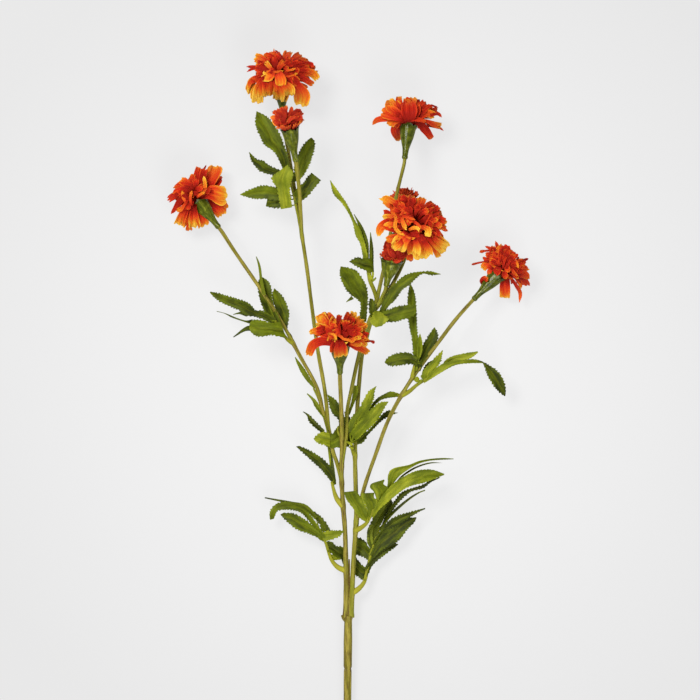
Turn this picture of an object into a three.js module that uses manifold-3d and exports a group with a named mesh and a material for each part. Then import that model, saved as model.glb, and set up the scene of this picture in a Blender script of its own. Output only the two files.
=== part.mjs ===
// A cut, branching marigold stem lying on a table: six open blooms, three buds and sixteen leafy
// sprigs on seven lengths of stem. Millimetres. +Y runs from the cut end to the blooms, +X to the
// right and +Z up from the table, which is z = 0.
import * as THREE from "three";
import Module from "manifold-3d";

const wasm = await Module();
wasm.setup();

// Driving dimensions
const SEAT_GAP = 0.3; // clear space where one piece is seated on another
const FINEST = 0.06; // smallest detail kept where blades grow together
const PETAL_THICK = 0.7;
const LEAF_THICK = 0.7;
const STEM_SIDES = 6;
const STEM_STEP = 19; // length of stem between two rings
const SETTLE = 1.5; // height above its floor at which a blade begins to lie flat
const LEAST_LIFT = 0; // middle of the lowest blades above their floor
const UP = new THREE.Vector3(0, 0, 1);

const FINISH = {
  petal: { color: 0xe2611a, roughness: 0.75, metalness: 0 },
  bud: { color: 0xc8401c, roughness: 0.75, metalness: 0 },
  calyx: { color: 0x3f6320, roughness: 0.4, metalness: 0 },
  stem: { color: 0x8f8a35, roughness: 0.5, metalness: 0 },
  leaf: { color: 0x4d6a1c, roughness: 0.65, metalness: 0 },
};

// The main stem from its cut end to the fork: distance from the end, then radius
const MAIN_STEM = {
  from: [-2.8, -80, 2.8],
  to: [-1.4, 67.6, 10],
  sides: 12,
  profile: [
    [0, 3.0],
    [104, 3.1],
    [105.5, 2.7],
    [107, 3.35],
    [128, 3.4],
    [145.4, 3.15],
    [145.8, 3.7],
    [147.75, 3.7],
  ],
};

// Open blooms. seat is the middle of the calyx's mouth, axis the way the bloom faces, calyx its
// length, size the share of a full bloom, floor the height its petals stay above, droop how far
// the outer petals hang, and turn the angle by which its rings are turned, in degrees.
const BLOOMS = {
  top_left: {
    seat: [-54.6, 491, 31], axis: [-0.03, 0.905, 0.42], calyx: 27, size: 1.06, floor: 0,
    droop: 0.95, turn: 12, seed: 11,
  },
  left: {
    seat: [-121, 399, 23.2], axis: [-0.6, 0.78, -0.16], calyx: 27.5, size: 1.04, floor: 0,
    droop: 0.85, turn: 0, seed: 23,
  },
  top_right: {
    seat: [46.4, 459.6, 29], axis: [0.1, 0.95, -0.3], calyx: 29, size: 0.98, floor: 0,
    droop: 0.75, turn: 20, seed: 37,
  },
  middle: {
    seat: [48.4, 374.6, 62], axis: [0.2, 0.48, 0.85], calyx: 22, size: 1.03, floor: 38,
    droop: 0.8, turn: 0, seed: 41,
  },
  right: {
    seat: [118.4, 341, 21.7], axis: [0.69, 0.72, -0.12], calyx: 29, size: 0.94, floor: 0,
    droop: 0.95, turn: 25, seed: 59,
  },
  front: {
    seat: [-8, 287, 60], axis: [0, 0.955, 0.3], calyx: 27, size: 0.97, floor: 32,
    droop: 0.55, turn: 26, seed: 67,
  },
};

const BUDS = {
  top_left: { seat: [-48, 457, 60], axis: [-0.17, 0.93, 0.3], calyx: 29, size: 1, floor: 0, seed: 71 },
  middle: { seat: [31.2, 353.8, 46.6], axis: [0.16, 0.97, 0.12], calyx: 22, size: 0.95, floor: 0, seed: 83 },
  back: { seat: [43, 398, 14.5], axis: [0.26, 0.92, -0.28], calyx: 20, size: 0.95, floor: 0, seed: 97 },
};

// Rows of a petal from root to tip: its share of the length at each of the row's points, side to side
const BROAD_PETAL = [[0], [0.5, 0.56, 0.5], [0.85, 1, 0.92, 0.99, 0.83]];
const INNER_PETAL = [[0], [0.54, 0.54], [0.88, 1, 0.94, 0.85]];
const BUD_PETAL = [[0], [0.6, 0.6], [1]];

// Rings of petals in a full bloom, from the drooping skirt to the upright heart. rise and fall are
// the slopes of the petal's midline at its root and tip, in degrees above the bloom's own plane.
const PETAL_ROOT = 3;
const PETAL_RINGS = [
  { count: 7, long: 26, half: 8, rise: 12, fall: -68, height: 1.5, cup: 0.14, outline: BROAD_PETAL },
  { count: 7, long: 25.5, half: 7.8, rise: 32, fall: -18, height: 3, cup: -0.1, outline: BROAD_PETAL },
  { count: 6, long: 22, half: 6.8, rise: 52, fall: 18, height: 4.4, cup: -0.15, outline: INNER_PETAL },
  { count: 5, long: 17, half: 5.2, rise: 72, fall: 54, height: 5.2, cup: -0.2, outline: INNER_PETAL },
];
const RUFFLE = 1.5;
const TWIST = 0.2; // lift of a petal's one edge over its neighbour, per millimetre of width

const BUD_RINGS = [
  { count: 8, long: 13.5, half: 3.3, rise: 62, fall: 24, height: 0.8, cup: -0.2, outline: BUD_PETAL },
  { count: 6, long: 13, half: 3, rise: 72, fall: 50, height: 1.2, cup: -0.2, outline: BUD_PETAL },
  { count: 3, long: 12, half: 2.8, rise: 84, fall: 76, height: 1.4, cup: -0.2, outline: BUD_PETAL },
];

// Height along the calyx from its foot, as a share of its length, then radius
const CALYX = [
  [0, 2.1],
  [0.28, 2.5],
  [0.62, 4.9],
  [0.86, 5.8],
  [1, 7],
];
const CALYX_SIDES = 10;
const CALYX_RIB = 0.05; // share by which every second side stands out
const CALYX_TOOTH = 0.07; // depth of the notches in the calyx's rim, as a share of its length

// Branches. at is the way the stem takes; the stem of a bloom ends under that bloom's calyx.
const BRANCHES = {
  front: {
    radius: [2.1, 1.6], bloom: BLOOMS.front, off: null,
    at: [[-3.5, 68.1, 10.4], [-3.1, 81, 11.6], [-3.2, 106, 14.5], [-4, 137, 18], [-5.6, 157, 21],
      [-6.7, 178, 24.5], [-6.5, 206, 31], [-6.9, 231, 41]],
  },
  top_right: {
    radius: [2, 1.35], bloom: BLOOMS.top_right, off: null,
    at: [[1.05, 68.1, 10.4], [1.7, 86, 12.3], [3, 116, 15.5], [5, 147, 18.5], [4.6, 167, 19.8],
      [4, 198, 20.5], [5.6, 231, 22.5], [9.6, 275, 25], [13.6, 292, 27.5], [18.4, 308, 31],
      [23.2, 328, 33], [28, 350, 33.3], [32.8, 376, 32.6], [36.8, 402, 31.5]],
    twig: { bud: BUDS.back, at: [[30.3, 362, 33], [35, 372, 26]] },
  },
  top_left: {
    radius: [1.6, 1.4], bloom: BLOOMS.top_left, off: "front",
    at: [[-6.4, 174, 23.8], [-10.4, 190, 24.3], [-13.2, 198, 24.2], [-16.5, 214, 24.5],
      [-19.8, 246, 26.5], [-25.6, 280, 27], [-30, 312, 29], [-34.4, 346, 31], [-38.4, 372, 32.5],
      [-40.8, 388, 31.5], [-44.8, 412, 28.5], [-48.8, 436, 25.5]],
    twig: { bud: BUDS.top_left, at: [[-38.2, 370, 32.4], [-39.2, 388, 38.5], [-40.4, 408, 44.5]] },
  },
  middle: {
    radius: [1.5, 1.4], bloom: BLOOMS.middle, off: "front",
    at: [[-6.6, 188, 26.6], [-3, 212, 30.5], [-2.4, 231, 31], [1.6, 251, 31.5], [6.8, 275, 31.5],
      [11.2, 292, 34], [17.6, 308, 39], [24, 317.6, 42], [30.4, 328, 41.5], [38, 343, 36],
      [43, 355, 31.5]],
    twig: { bud: BUDS.middle, at: [[22.8, 315.8, 41.6], [26.5, 324, 43.8]] },
  },
  right: {
    radius: [1.6, 1.5], bloom: BLOOMS.right, off: "top_right",
    at: [[5, 143, 18.2], [11.2, 170, 23.5], [20.8, 198, 27], [30, 223, 29], [40.4, 243, 30],
      [51.2, 260, 30.5], [69.6, 285, 30], [84, 304, 28.5]],
  },
  left: {
    radius: [1.5, 1.45], bloom: BLOOMS.left, off: "top_left",
    at: [[-16.4, 213, 24.5], [-22.2, 233.6, 27.5], [-26.4, 250, 29], [-39.2, 274, 30], [-54.4, 302, 30],
      [-63, 316, 30], [-73.6, 332, 29], [-92.8, 360, 27]],
  },
};

// Leafy sprigs. stalk is the way of the leaf's own stalk, from inside the stem it springs off. A
// leaflet starts at a share of the stalk's length and runs to its tip, its middle moved aside by
// bend. wide is its full width, and face the way its upper side looks.
const LEAVES = {
  low_left: {
    off: "front", stalk: [[-3.6, 104, 14.3], [-14.9, 113, 13.5], [-19, 126, 14], [-25.6, 139, 15]],
    leaflets: [
      { at: 0.92, tip: [-55, 148, 14], bend: [0, -2, 2], wide: 9, face: [0.1, 0.25, 1] },
      { at: 1, tip: [-63, 145, 12], bend: [-4, 14.5, 5], wide: 7, face: [-0.3, 0.6, 0.6] },
      { at: 0.95, tip: [-67, 162, 7], bend: [2, 3, 0], wide: 5.5, face: [0.3, 0.9, 0.2] },
      { at: 0.8, tip: [-8.4, 135, 19], bend: [0, -1, 2], wide: 6.5, face: [0, -0.2, 1] },
      { at: 0.55, tip: [-3, 108.5, 7], bend: [0, -1, -1], wide: 8.5, face: [0, 0, 1] },
    ],
  },
  low_right: {
    off: "top_right", stalk: [[1.5, 86, 12.2], [11.7, 94.7, 11.5], [15.8, 116, 11], [22.9, 137.6, 11.5]],
    leaflets: [
      { at: 0.35, tip: [38, 124, 9], bend: [3, -3, 1], wide: 9.5, face: [0.1, -0.2, 1] },
      { at: 0.7, tip: [52.5, 145, 11], bend: [2, -3, 2], wide: 7.5, face: [0.1, -0.2, 1] },
      { at: 1, tip: [59.6, 154, 13], bend: [0, 0, 2], wide: 7, face: [0.1, -0.2, 1] },
      { at: 0.3, tip: [4.6, 117, 4.5], bend: [-1, -2, -1], wide: 8, face: [0.2, 0, 1] },
      { at: 0.6, tip: [5.5, 132, 6], bend: [-1, 0, -1], wide: 8, face: [0.2, 0.1, 1] },
      { at: 0.9, tip: [31, 161, 8], bend: [-2, 1, 1], wide: 7, face: [-0.2, 0, 1] },
      { at: 0.97, tip: [59, 168, 10], bend: [0, -2, 1], wide: 4.5, face: [0.5, -0.7, 0.4] },
      { at: 1, tip: [70, 177.5, 6], bend: [-4, 3, 3], wide: 5.5, face: [-0.4, 0.5, 0.8] },
    ],
  },
  mid_right: {
    off: "top_right", stalk: [[4.4, 136, 17.8], [13.6, 142.7, 24], [22.9, 161, 28], [40, 174.5, 31]],
    leaflets: [
      { at: 0.95, tip: [74, 181, 29], bend: [0, 4, 3], wide: 10.5, face: [-0.1, 0.2, 1] },
      { at: 0.72, tip: [82, 193, 23], bend: [-3, 9, 4], wide: 5, face: [-0.5, 0.8, 0.4] },
      { at: 0.86, tip: [74, 189.5, 20], bend: [-3, 6, 2], wide: 3.5, face: [-0.5, 0.8, 0.3] },
      { at: 0.66, tip: [43, 187, 33], bend: [-6, 3, 1], wide: 9, face: [0.1, 0, 1] },
      { at: 0.45, tip: [26, 177, 33], bend: [-2, 1, 0], wide: 8, face: [0.1, 0, 1] },
      { at: 0.3, tip: [18.8, 164, 31], bend: [-2, 0, 1], wide: 7, face: [0, 0, 1] },
      { at: 0.22, tip: [-3.6, 167, 30], bend: [1, -1, 2], wide: 9.5, face: [0.2, 0, 1] },
    ],
  },
  dark_left: {
    off: "front", stalk: [[-5.6, 155.5, 20.8], [-12.4, 167, 19.5], [-14.6, 174, 19]],
    leaflets: [
      { at: 0.85, tip: [-42.4, 203, 19], bend: [4, 3, 0], wide: 7.5, face: [0.3, 0.25, 0.9] },
      { at: 1, tip: [-15.6, 202, 15], bend: [-1, 0, 0], wide: 3.5, face: [1, 0, 0.3] },
    ],
  },
  mid_left: {
    off: "top_left", stalk: [[-15.6, 207, 24.3], [-16.6, 210, 27], [-16.8, 212.5, 28.2]],
    leaflets: [
      { at: 0.9, tip: [-34, 245, 22], bend: [-2, -1, 1], wide: 4.5, face: [0.7, 0.3, 0.6] },
      { at: 0.7, tip: [-37, 231, 20], bend: [-2, -1, 1], wide: 4.5, face: [0.6, 0.7, 0.4] },
      { at: 1, tip: [-29, 209, 30], bend: [0, 0, 2], wide: 8.5, face: [0, 0, 1] },
      { at: 0.85, tip: [9, 212.5, 24.6], bend: [0, 0, -1], wide: 9.5, face: [0, 0, 1] },
    ],
  },
  left_low: {
    off: "left", stalk: [[-23.8, 240, 28.2], [-27, 245.5, 26.5], [-29, 249.5, 25.8]],
    leaflets: [
      { at: 0.8, tip: [-44.6, 275, 23], bend: [-1.5, -1, 0], wide: 4, face: [0.6, 0.4, 0.7] },
    ],
  },
  centre_right: {
    off: "top_right", stalk: [[4, 196, 20.4], [1.6, 202, 26], [0.8, 206.5, 28.8]],
    leaflets: [
      { at: 1, tip: [20, 251, 38], bend: [-5, 1, 2], wide: 9.5, face: [0.1, 0, 1] },
      { at: 0.95, tip: [30, 238.5, 35], bend: [-2, -4, 2], wide: 10, face: [0.1, -0.1, 1] },
      { at: 0.85, tip: [39, 245, 23], bend: [-4, 7, 1], wide: 5.5, face: [-0.3, 0.5, 0.8] },
      { at: 0.75, tip: [38, 230, 22], bend: [2, -6, -1], wide: 5.5, face: [0.3, -0.4, 0.8] },
      { at: 1, tip: [5.5, 251, 28.4], bend: [1, 0, 0], wide: 4.5, face: [0.5, 0, 0.8] },
    ],
  },
  front_back: {
    off: "front", stalk: [[-6.6, 210, 32.6], [-9.4, 214.5, 31.5], [-11, 218, 31.5]],
    leaflets: [
      { at: 0.85, tip: [-17, 245, 33], bend: [2, 1, 1], wide: 8.5, face: [0.3, 0, 1] },
    ],
  },
  right_low: {
    off: "right", stalk: [[41, 244, 30], [51.8, 251, 28.5], [64, 260, 29]],
    leaflets: [
      { at: 0.7, tip: [74.5, 279, 34], bend: [1, -3, 1], wide: 7.5, face: [-0.2, 0.2, 1] },
      { at: 0.55, tip: [63, 271.5, 24], bend: [-1, 0, -1], wide: 4.5, face: [0.3, 0, 1] },
      { at: 1, tip: [101.5, 279, 33], bend: [-3, 4, 1], wide: 7.5, face: [-0.2, 0.2, 1] },
      { at: 0.95, tip: [124, 244, 19], bend: [6, 20, 5], wide: 9, face: [0.3, 0.4, 0.8] },
    ],
  },
  right_high: {
    off: "right", stalk: [[49.6, 257.8, 30.4], [48.4, 262, 33.5], [50.4, 267.5, 34.5]],
    leaflets: [
      { at: 0.95, tip: [48.3, 331.5, 37], bend: [-2.5, 0, -1], wide: 7.5, face: [0.35, 0, 1] },
      { at: 0.9, tip: [57, 292.5, 37], bend: [1, 0, 1], wide: 5, face: [-0.6, 0, 0.8] },
      { at: 1, tip: [28, 270.5, 36], bend: [0, 3, 2], wide: 9.5, face: [0, 0.1, 1] },
      { at: 0.8, tip: [67, 298, 26.5], bend: [-1, 2, 0], wide: 6.5, face: [-0.2, 0.1, 1] },
    ],
  },
  middle_node: {
    off: "middle", stalk: [[16.6, 305.8, 38.6], [17.4, 308, 43], [19.6, 310, 45.6]],
    leaflets: [
      { at: 1, tip: [71.5, 340.5, 41], bend: [-5, 13, 6], wide: 9, face: [-0.2, 0.3, 0.9] },
      { at: 0.95, tip: [50.5, 313.5, 43], bend: [0, -3, 1], wide: 10, face: [0, 0, 1] },
      { at: 1, tip: [24, 298, 53], bend: [1.5, 1.5, 1], wide: 11, face: [0.2, 0.3, 1] },
      { at: 0.8, tip: [15.5, 321, 45.5], bend: [-1, 0, 0], wide: 5, face: [0.5, 0, 1] },
    ],
  },
  top_right_left: {
    off: "top_right", stalk: [[13.4, 291, 27.4], [11, 297, 30], [9.8, 302, 31.5]],
    leaflets: [
      { at: 0.9, tip: [-7.4, 346.5, 35], bend: [5, -3, 0], wide: 12, face: [0.1, 0, 1] },
      { at: 0.7, tip: [-3, 319.5, 27], bend: [1, -1, 0], wide: 5, face: [0, 0, 1] },
    ],
  },
  top_right_high: {
    off: "top_right", stalk: [[21.6, 321, 32.4], [17.6, 331, 36], [15.8, 339, 37.5], [14.8, 347, 37.5]],
    leaflets: [
      { at: 1, tip: [-15.5, 415, 30], bend: [2.5, 0, 0], wide: 6, face: [0.75, 0.3, 0.6] },
      { at: 0.98, tip: [4, 387, 33], bend: [2.5, 0, -1], wide: 4, face: [0.9, 0.2, 0.4] },
      { at: 0.9, tip: [16.8, 373, 41], bend: [-0.5, 0, 1], wide: 4, face: [1, 0, 0.4] },
      { at: 0.85, tip: [-0.5, 350, 42], bend: [0, 1, 1], wide: 9.5, face: [0, 0, 1] },
    ],
  },
  top_left: {
    off: "top_left", stalk: [[-40, 383, 32], [-42.6, 392, 35.2], [-44.2, 402, 35.4], [-48.8, 422, 34.2]],
    leaflets: [
      { at: 1, tip: [-74.2, 469, 29], bend: [-1, 2, 0], wide: 14.5, face: [0.2, 0, 1] },
      { at: 0.88, tip: [-80.6, 437, 29], bend: [0, -2, 0], wide: 9, face: [0, -0.2, 1] },
      { at: 0.5, tip: [-87, 403, 28], bend: [0, 4, 1], wide: 10.5, face: [0, 0.2, 1] },
      { at: 0.3, tip: [-67, 393, 36], bend: [0, -1, 1], wide: 10, face: [0, 0, 1] },
      { at: 0.25, tip: [-50.5, 427, 46], bend: [-2.5, -1, 3], wide: 13.5, face: [0.1, -0.2, 1] },
      { at: 0.72, tip: [-30.6, 448.5, 33], bend: [4, -2, 0], wide: 11, face: [0, 0, 1] },
      { at: 0.42, tip: [-27, 418, 34], bend: [2, -2, 0], wide: 10, face: [0, 0, 1] },
    ],
  },
  left: {
    off: "left", stalk: [[-45.6, 285.4, 30], [-50, 288.4, 33.5], [-55.5, 297, 36], [-59.5, 303.5, 37]],
    leaflets: [
      { at: 0.92, tip: [-111, 326, 32], bend: [2, 4, 2], wide: 8.5, face: [0, 0.1, 1] },
      { at: 0.75, tip: [-80, 298, 41], bend: [0, 0, 2], wide: 11.5, face: [0, -0.1, 1] },
      { at: 0.9, tip: [-105, 309, 29], bend: [0, 1, 0], wide: 4, face: [0, 0.9, 0.5] },
      { at: 0.72, tip: [-92, 290, 32], bend: [0, 1, 0], wide: 4, face: [0, 0.6, 0.8] },
      { at: 1, tip: [-69, 338, 37], bend: [2, 0, 1], wide: 9, face: [0.1, 0, 1] },
      { at: 0.97, tip: [-75, 354, 40], bend: [-1, 0, 0], wide: 4, face: [0.9, 0.2, 0.4] },
    ],
  },
  left_back: {
    off: "left", stalk: [[-46.6, 287, 30], [-45.6, 291, 26.5], [-46.6, 295, 25.4]],
    leaflets: [
      { at: 0.85, tip: [-60.4, 328.5, 23], bend: [5, 1, 0], wide: 10.5, face: [0, 0, 1] },
      { at: 0.7, tip: [-73.5, 325, 20], bend: [1, 3, -2], wide: 5.5, face: [0, 0, 1] },
    ],
  },
};
const TOOTH = 1.2; // how far a leaflet's teeth stand out beyond the notches between them
const LEAFLET_FOLD = 0.28; // rise of a leaflet's halves beside its rib, per millimetre of width
const STALK_RADIUS = [1.15, 0.6];
const STALK_SIDES = 5;
const LEAFLET_ROOT = 0.5; // how far a leaflet's root is sunk behind the middle of its stalk
const NARROW_LEAFLET = 6; // below this width a leaflet has three teeth a side, and four from it on

// Vectors
const vec = (p) => new THREE.Vector3(...p);
const unit = (p) => vec(p).normalize();
const degrees = (d) => (d * Math.PI) / 180;
const along = (start, direction, distance) => start.clone().addScaledVector(direction, distance);

// A repeatable run of numbers from 0 to 1
function dice(seed) {
  let state = seed >>> 0;
  return () => {
    state = (Math.imul(1664525, state) + 1013904223) >>> 0;
    return state / 4294967296;
  };
}

// Solids
function solidOf(points, faces) {
  const build = (list) =>
    new wasm.Manifold(
      new wasm.Mesh({
        numProp: 3,
        vertProperties: new Float32Array(points.flatMap((p) => [p.x, p.y, p.z])),
        triVerts: new Uint32Array(list.flat()),
      }),
    );
  const made = build(faces);
  return made.volume() < 0 ? build(faces.map(([a, b, c]) => [a, c, b])) : made;
}

const fuse = (solids) => wasm.Manifold.union(solids);

function largestOf(solid) {
  const bodies = solid.decompose();
  return bodies.reduce((best, body) => (body.volume() > best.volume() ? body : best));
}

// Cut flat where it presses on the table, and cleared of slivers finer than the eye sees
function restOnTable(solid) {
  return largestOf(solid.trimByPlane([0, 0, 1], 0).asOriginal().simplify(FINEST));
}

function meshOf(name, solid, finish) {
  const { vertProperties, triVerts, numProp } = solid.getMesh();
  const geometry = new THREE.BufferGeometry();
  const places = new THREE.InterleavedBuffer(vertProperties, numProp);
  geometry.setAttribute("position", new THREE.InterleavedBufferAttribute(places, 3, 0));
  geometry.setIndex(new THREE.BufferAttribute(triVerts, 1));
  const flat = geometry.toNonIndexed();
  flat.computeVertexNormals();
  const mesh = new THREE.Mesh(flat, new THREE.MeshStandardMaterial(finish));
  mesh.name = name;
  return mesh;
}

// A closed body through rings of equally many points, its two ends flat
function loft(rings) {
  const sides = rings[0].length;
  const faces = [];
  for (let r = 0; r + 1 < rings.length; r += 1) {
    for (let s = 0; s < sides; s += 1) {
      const a = r * sides + s;
      const b = r * sides + ((s + 1) % sides);
      faces.push([a, b, b + sides], [a, b + sides, a + sides]);
    }
  }
  const last = (rings.length - 1) * sides;
  for (let s = 1; s + 1 < sides; s += 1) {
    faces.push([0, s + 1, s], [last, last + s, last + s + 1]);
  }
  return solidOf(rings.flat(), faces);
}

function ring(centre, across, over, radius, sides) {
  return Array.from({ length: sides }, (_, s) => {
    const angle = (2 * Math.PI * (s + 0.5)) / sides;
    const reach = typeof radius === "function" ? radius(s) : radius;
    return along(along(centre, across, reach * Math.cos(angle)), over, reach * Math.sin(angle));
  });
}

// Two directions square to an axis, the first level with the table
function frameOf(axis) {
  const across = new THREE.Vector3().crossVectors(UP, axis).normalize();
  const over = new THREE.Vector3().crossVectors(axis, across);
  return { across, over };
}

// A round stalk along a smooth line, its radius running from one value to the other
function stalk(points, [first, last], sides, step, swell = 0) {
  const line = new THREE.CatmullRomCurve3(points, false, "centripetal");
  const steps = Math.max(2, Math.round(line.getLength() / step));
  const { normals, binormals } = line.computeFrenetFrames(steps);
  return loft(
    Array.from({ length: steps + 1 }, (_, i) => {
      const radius = THREE.MathUtils.lerp(first, last, i / steps) + swell;
      return ring(line.getPointAt(i / steps), normals[i], binormals[i], radius, sides);
    }),
  );
}

// A thin blade: rows of points and the side each looks to, thickened both ways alike
function blade(rows, thick) {
  const cells = rows.flat();
  const count = cells.length;
  const first = rows.map((_, r) => rows.slice(0, r).reduce((sum, row) => sum + row.length, 0));
  const at = (r, c) => first[r] + c;
  const faces = [];
  const put = (a, b, c) => faces.push([a, b, c], [count + a, count + c, count + b]);
  for (let r = 0; r + 1 < rows.length; r += 1) {
    const near = rows[r].length - 1;
    const far = rows[r + 1].length - 1;
    for (let [i, j] = [0, 0]; i < near || j < far; ) {
      const stepNear = j === far || (i < near && (i + 1) / near <= (j + 1) / far);
      put(at(r, i), stepNear ? at(r, i + 1) : at(r + 1, j + 1), at(r + 1, j));
      if (stepNear) i += 1;
      else j += 1;
    }
  }
  const last = rows.length - 1;
  const inner = rows.map((row, r) => [r, row.length - 1]).slice(1, last);
  const rim = [
    ...rows[0].map((_, c) => at(0, c)),
    ...inner.map(([r, c]) => at(r, c)),
    ...rows[last].map((_, c) => at(last, c)).reverse(),
    ...inner.map(([r]) => at(r, 0)).reverse(),
  ];
  rim.forEach((a, i) => {
    const b = rim[(i + 1) % rim.length];
    faces.push([b, a, count + a], [b, count + a, count + b]);
  });
  const upper = cells.map(({ point, side }) => along(point, side, thick / 2));
  const lower = cells.map(({ point, side }) => along(point, side, -thick / 2));
  return solidOf([...upper, ...lower], faces);
}

// A point near the floor lies down on it instead of passing through
function settled(point, floor) {
  const rise = point.z - floor - LEAST_LIFT;
  if (rise < SETTLE) point.z = floor + LEAST_LIFT + SETTLE * Math.exp(rise / SETTLE - 1);
  return point;
}

// Petals
const petalWidth = (u) => 0.2 + 0.8 * Math.sin((Math.PI / 2) * Math.min(1, u / 0.75));

function petal(bloom, shape, turn, roll) {
  const { seat, axis, across, over } = bloom;
  const long = shape.long * bloom.size * (0.9 + 0.2 * roll[0]);
  const half = shape.half * bloom.size;
  const rise = degrees(shape.rise + 10 * (roll[1] - 0.5));
  const fall = degrees(shape.fall + 24 * (roll[2] - 0.5));
  const out = along(across.clone().multiplyScalar(Math.cos(turn)), over, Math.sin(turn));
  const beside = new THREE.Vector3().crossVectors(axis, out);
  const midline = (u) => {
    const slope = rise + (fall - rise) * u;
    const reach = PETAL_ROOT + (long * (Math.sin(slope) - Math.sin(rise))) / (fall - rise);
    const height = shape.height - (long * (Math.cos(slope) - Math.cos(rise))) / (fall - rise);
    const side = along(axis.clone().multiplyScalar(Math.cos(slope)), out, -Math.sin(slope));
    return { point: along(along(seat, axis, height), out, reach), side };
  };
  const rows = shape.outline.map((row) =>
    row.map((u, c) => {
      const v = row.length > 1 ? (2 * c) / (row.length - 1) - 1 : 0;
      const { point, side } = midline(u);
      const width = half * petalWidth(u) * v;
      const wave = RUFFLE * u * u * Math.sin(Math.PI * 2.2 * v + 6 * roll[3]);
      const lift = wave + (TWIST + shape.cup * v * u) * width;
      const moved = along(along(point, beside, width), side, lift);
      return { point: settled(moved, bloom.floor), side };
    }),
  );
  return blade(rows, PETAL_THICK);
}

function petalsOf(head, rings) {
  const { seed, turn = 0, droop = 1 } = head;
  const roll = dice(seed);
  return rings.flatMap((ring, k) =>
    Array.from({ length: ring.count }, (_, i) => {
      const at = degrees(turn) + (2 * Math.PI * (i + 0.37 * k + 0.2 * (roll() - 0.5))) / ring.count;
      const shape = k ? ring : { ...ring, fall: ring.fall * droop };
      return petal(head, shape, at, [roll(), roll(), roll(), roll()]);
    }),
  );
}

const HEART = [[0, 6.2], [3, 6.6], [6, 5.4], [8, 2]];
const BUD_HEART = [[0, 5], [2.4, 5.2], [4.6, 2.2]];

function headSolid(head, rings, heart) {
  const { seat, axis, across, over } = head;
  const core = loft(
    heart.map(([height, radius]) => ring(along(seat, axis, height), across, over, radius, 8)),
  );
  return restOnTable(fuse([core, ...petalsOf(head, rings)]));
}

function calyxSolid({ seat, axis, across, over, calyx }) {
  return loft(
    CALYX.map(([share, radius]) => {
      const ribbed = (side) => radius * (1 + (side % 2 ? -CALYX_RIB : CALYX_RIB) * share);
      const centre = along(seat, axis, calyx * (share - 1) - SEAT_GAP);
      const points = ring(centre, across, over, ribbed, CALYX_SIDES);
      const notch = share === 1 ? -CALYX_TOOTH * calyx : 0;
      return points.map((point, side) => (side % 2 ? along(point, axis, notch) : point));
    }),
  );
}

// A leaflet's outline is a row of teeth along each side of its rib
function leafletWidth(u, wide) {
  return 0.7 + (wide / 2 - 0.4) * Math.sin(Math.PI * u ** 0.8) ** 0.75;
}

function leafletSolid(base, { tip, bend, wide, face }) {
  const end = vec(tip);
  const turned = along(base.clone().lerp(end, 0.5), vec(bend), 2);
  const rib = new THREE.QuadraticBezierCurve3(base, turned, end);
  const teeth = wide < NARROW_LEAFLET ? 3 : 4;
  const looks = unit(face);
  const cell = (u, reach) => {
    const tangent = rib.getTangent(u);
    const beside = new THREE.Vector3().crossVectors(looks, tangent).normalize();
    const side = new THREE.Vector3().crossVectors(tangent, beside).normalize();
    const lifted = along(rib.getPoint(u), side, LEAFLET_FOLD * Math.abs(reach));
    return { point: settled(along(lifted, beside, reach), 0), side };
  };
  const cells = [];
  const add = (u, reach) => cells.push(cell(u, reach)) - 1;
  const ribs = Array.from({ length: teeth + 1 }, (_, i) => add(i / teeth, 0));
  const faces = [];
  const sides = [1, -1].map((hand) => {
    const edge = [ribs[0]];
    for (let i = 0; i < teeth; i += 1) {
      const point = (i + 0.8) / teeth;
      const notch = (i + 1) / teeth;
      edge.push(add(point, hand * (leafletWidth(point, wide) + TOOTH / 2)));
      edge.push(i + 1 < teeth ? add(notch, hand * (leafletWidth(notch, wide) - TOOTH / 2)) : ribs[teeth]);
    }
    const put = (a, b, c) => faces.push(hand > 0 ? [a, b, c] : [a, c, b]);
    for (let i = 0; i < teeth; i += 1) {
      const [notch, point, next] = [edge[2 * i], edge[2 * i + 1], edge[2 * i + 2]];
      put(notch, next, point);
      if (i > 0) put(ribs[i], next, notch);
      if (i + 1 < teeth) put(ribs[i], ribs[i + 1], next);
    }
    return edge.slice(1);
  });
  const count = cells.length;
  const rim = [ribs[0], ...sides[0], ...sides[1].slice(0, -1).reverse()];
  const under = faces.map(([a, b, c]) => [count + a, count + c, count + b]);
  const wall = rim.flatMap((a, i) => {
    const b = rim[(i + 1) % rim.length];
    return [[a, b, count + b], [a, count + b, count + a]];
  });
  const upper = cells.map(({ point, side }) => along(point, side, LEAF_THICK / 2));
  const lower = cells.map(({ point, side }) => along(point, side, -LEAF_THICK / 2));
  return solidOf([...upper, ...lower], [...faces, ...under, ...wall]);
}

function leafSolid({ stalk: way, leaflets }) {
  const points = way.map(vec);
  const line = new THREE.CatmullRomCurve3(points, false, "centripetal");
  const blades = leaflets.map((leaflet) => {
    const start = line.getPointAt(leaflet.at);
    const outward = vec(leaflet.tip).sub(start).normalize();
    return leafletSolid(along(start, outward, -LEAFLET_ROOT), leaflet);
  });
  return fuse([stalk(points, STALK_RADIUS, STALK_SIDES, 9), ...blades]);
}

// Stems
function mainStemSolid() {
  const { from, to, profile, sides } = MAIN_STEM;
  const start = vec(from);
  const axis = vec(to).sub(start).normalize();
  const { across, over } = frameOf(axis);
  return loft(
    profile.map(([distance, radius]) => ring(along(start, axis, distance), across, over, radius, sides)),
  );
}

const STRAIGHT_END = 7; // of a stem, below the calyx that it carries

function wayTo(at, { seat, axis, calyx }) {
  const foot = along(seat, axis, -calyx - 2 * SEAT_GAP);
  return [...at.map(vec), along(foot, axis, -STRAIGHT_END), foot];
}

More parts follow.
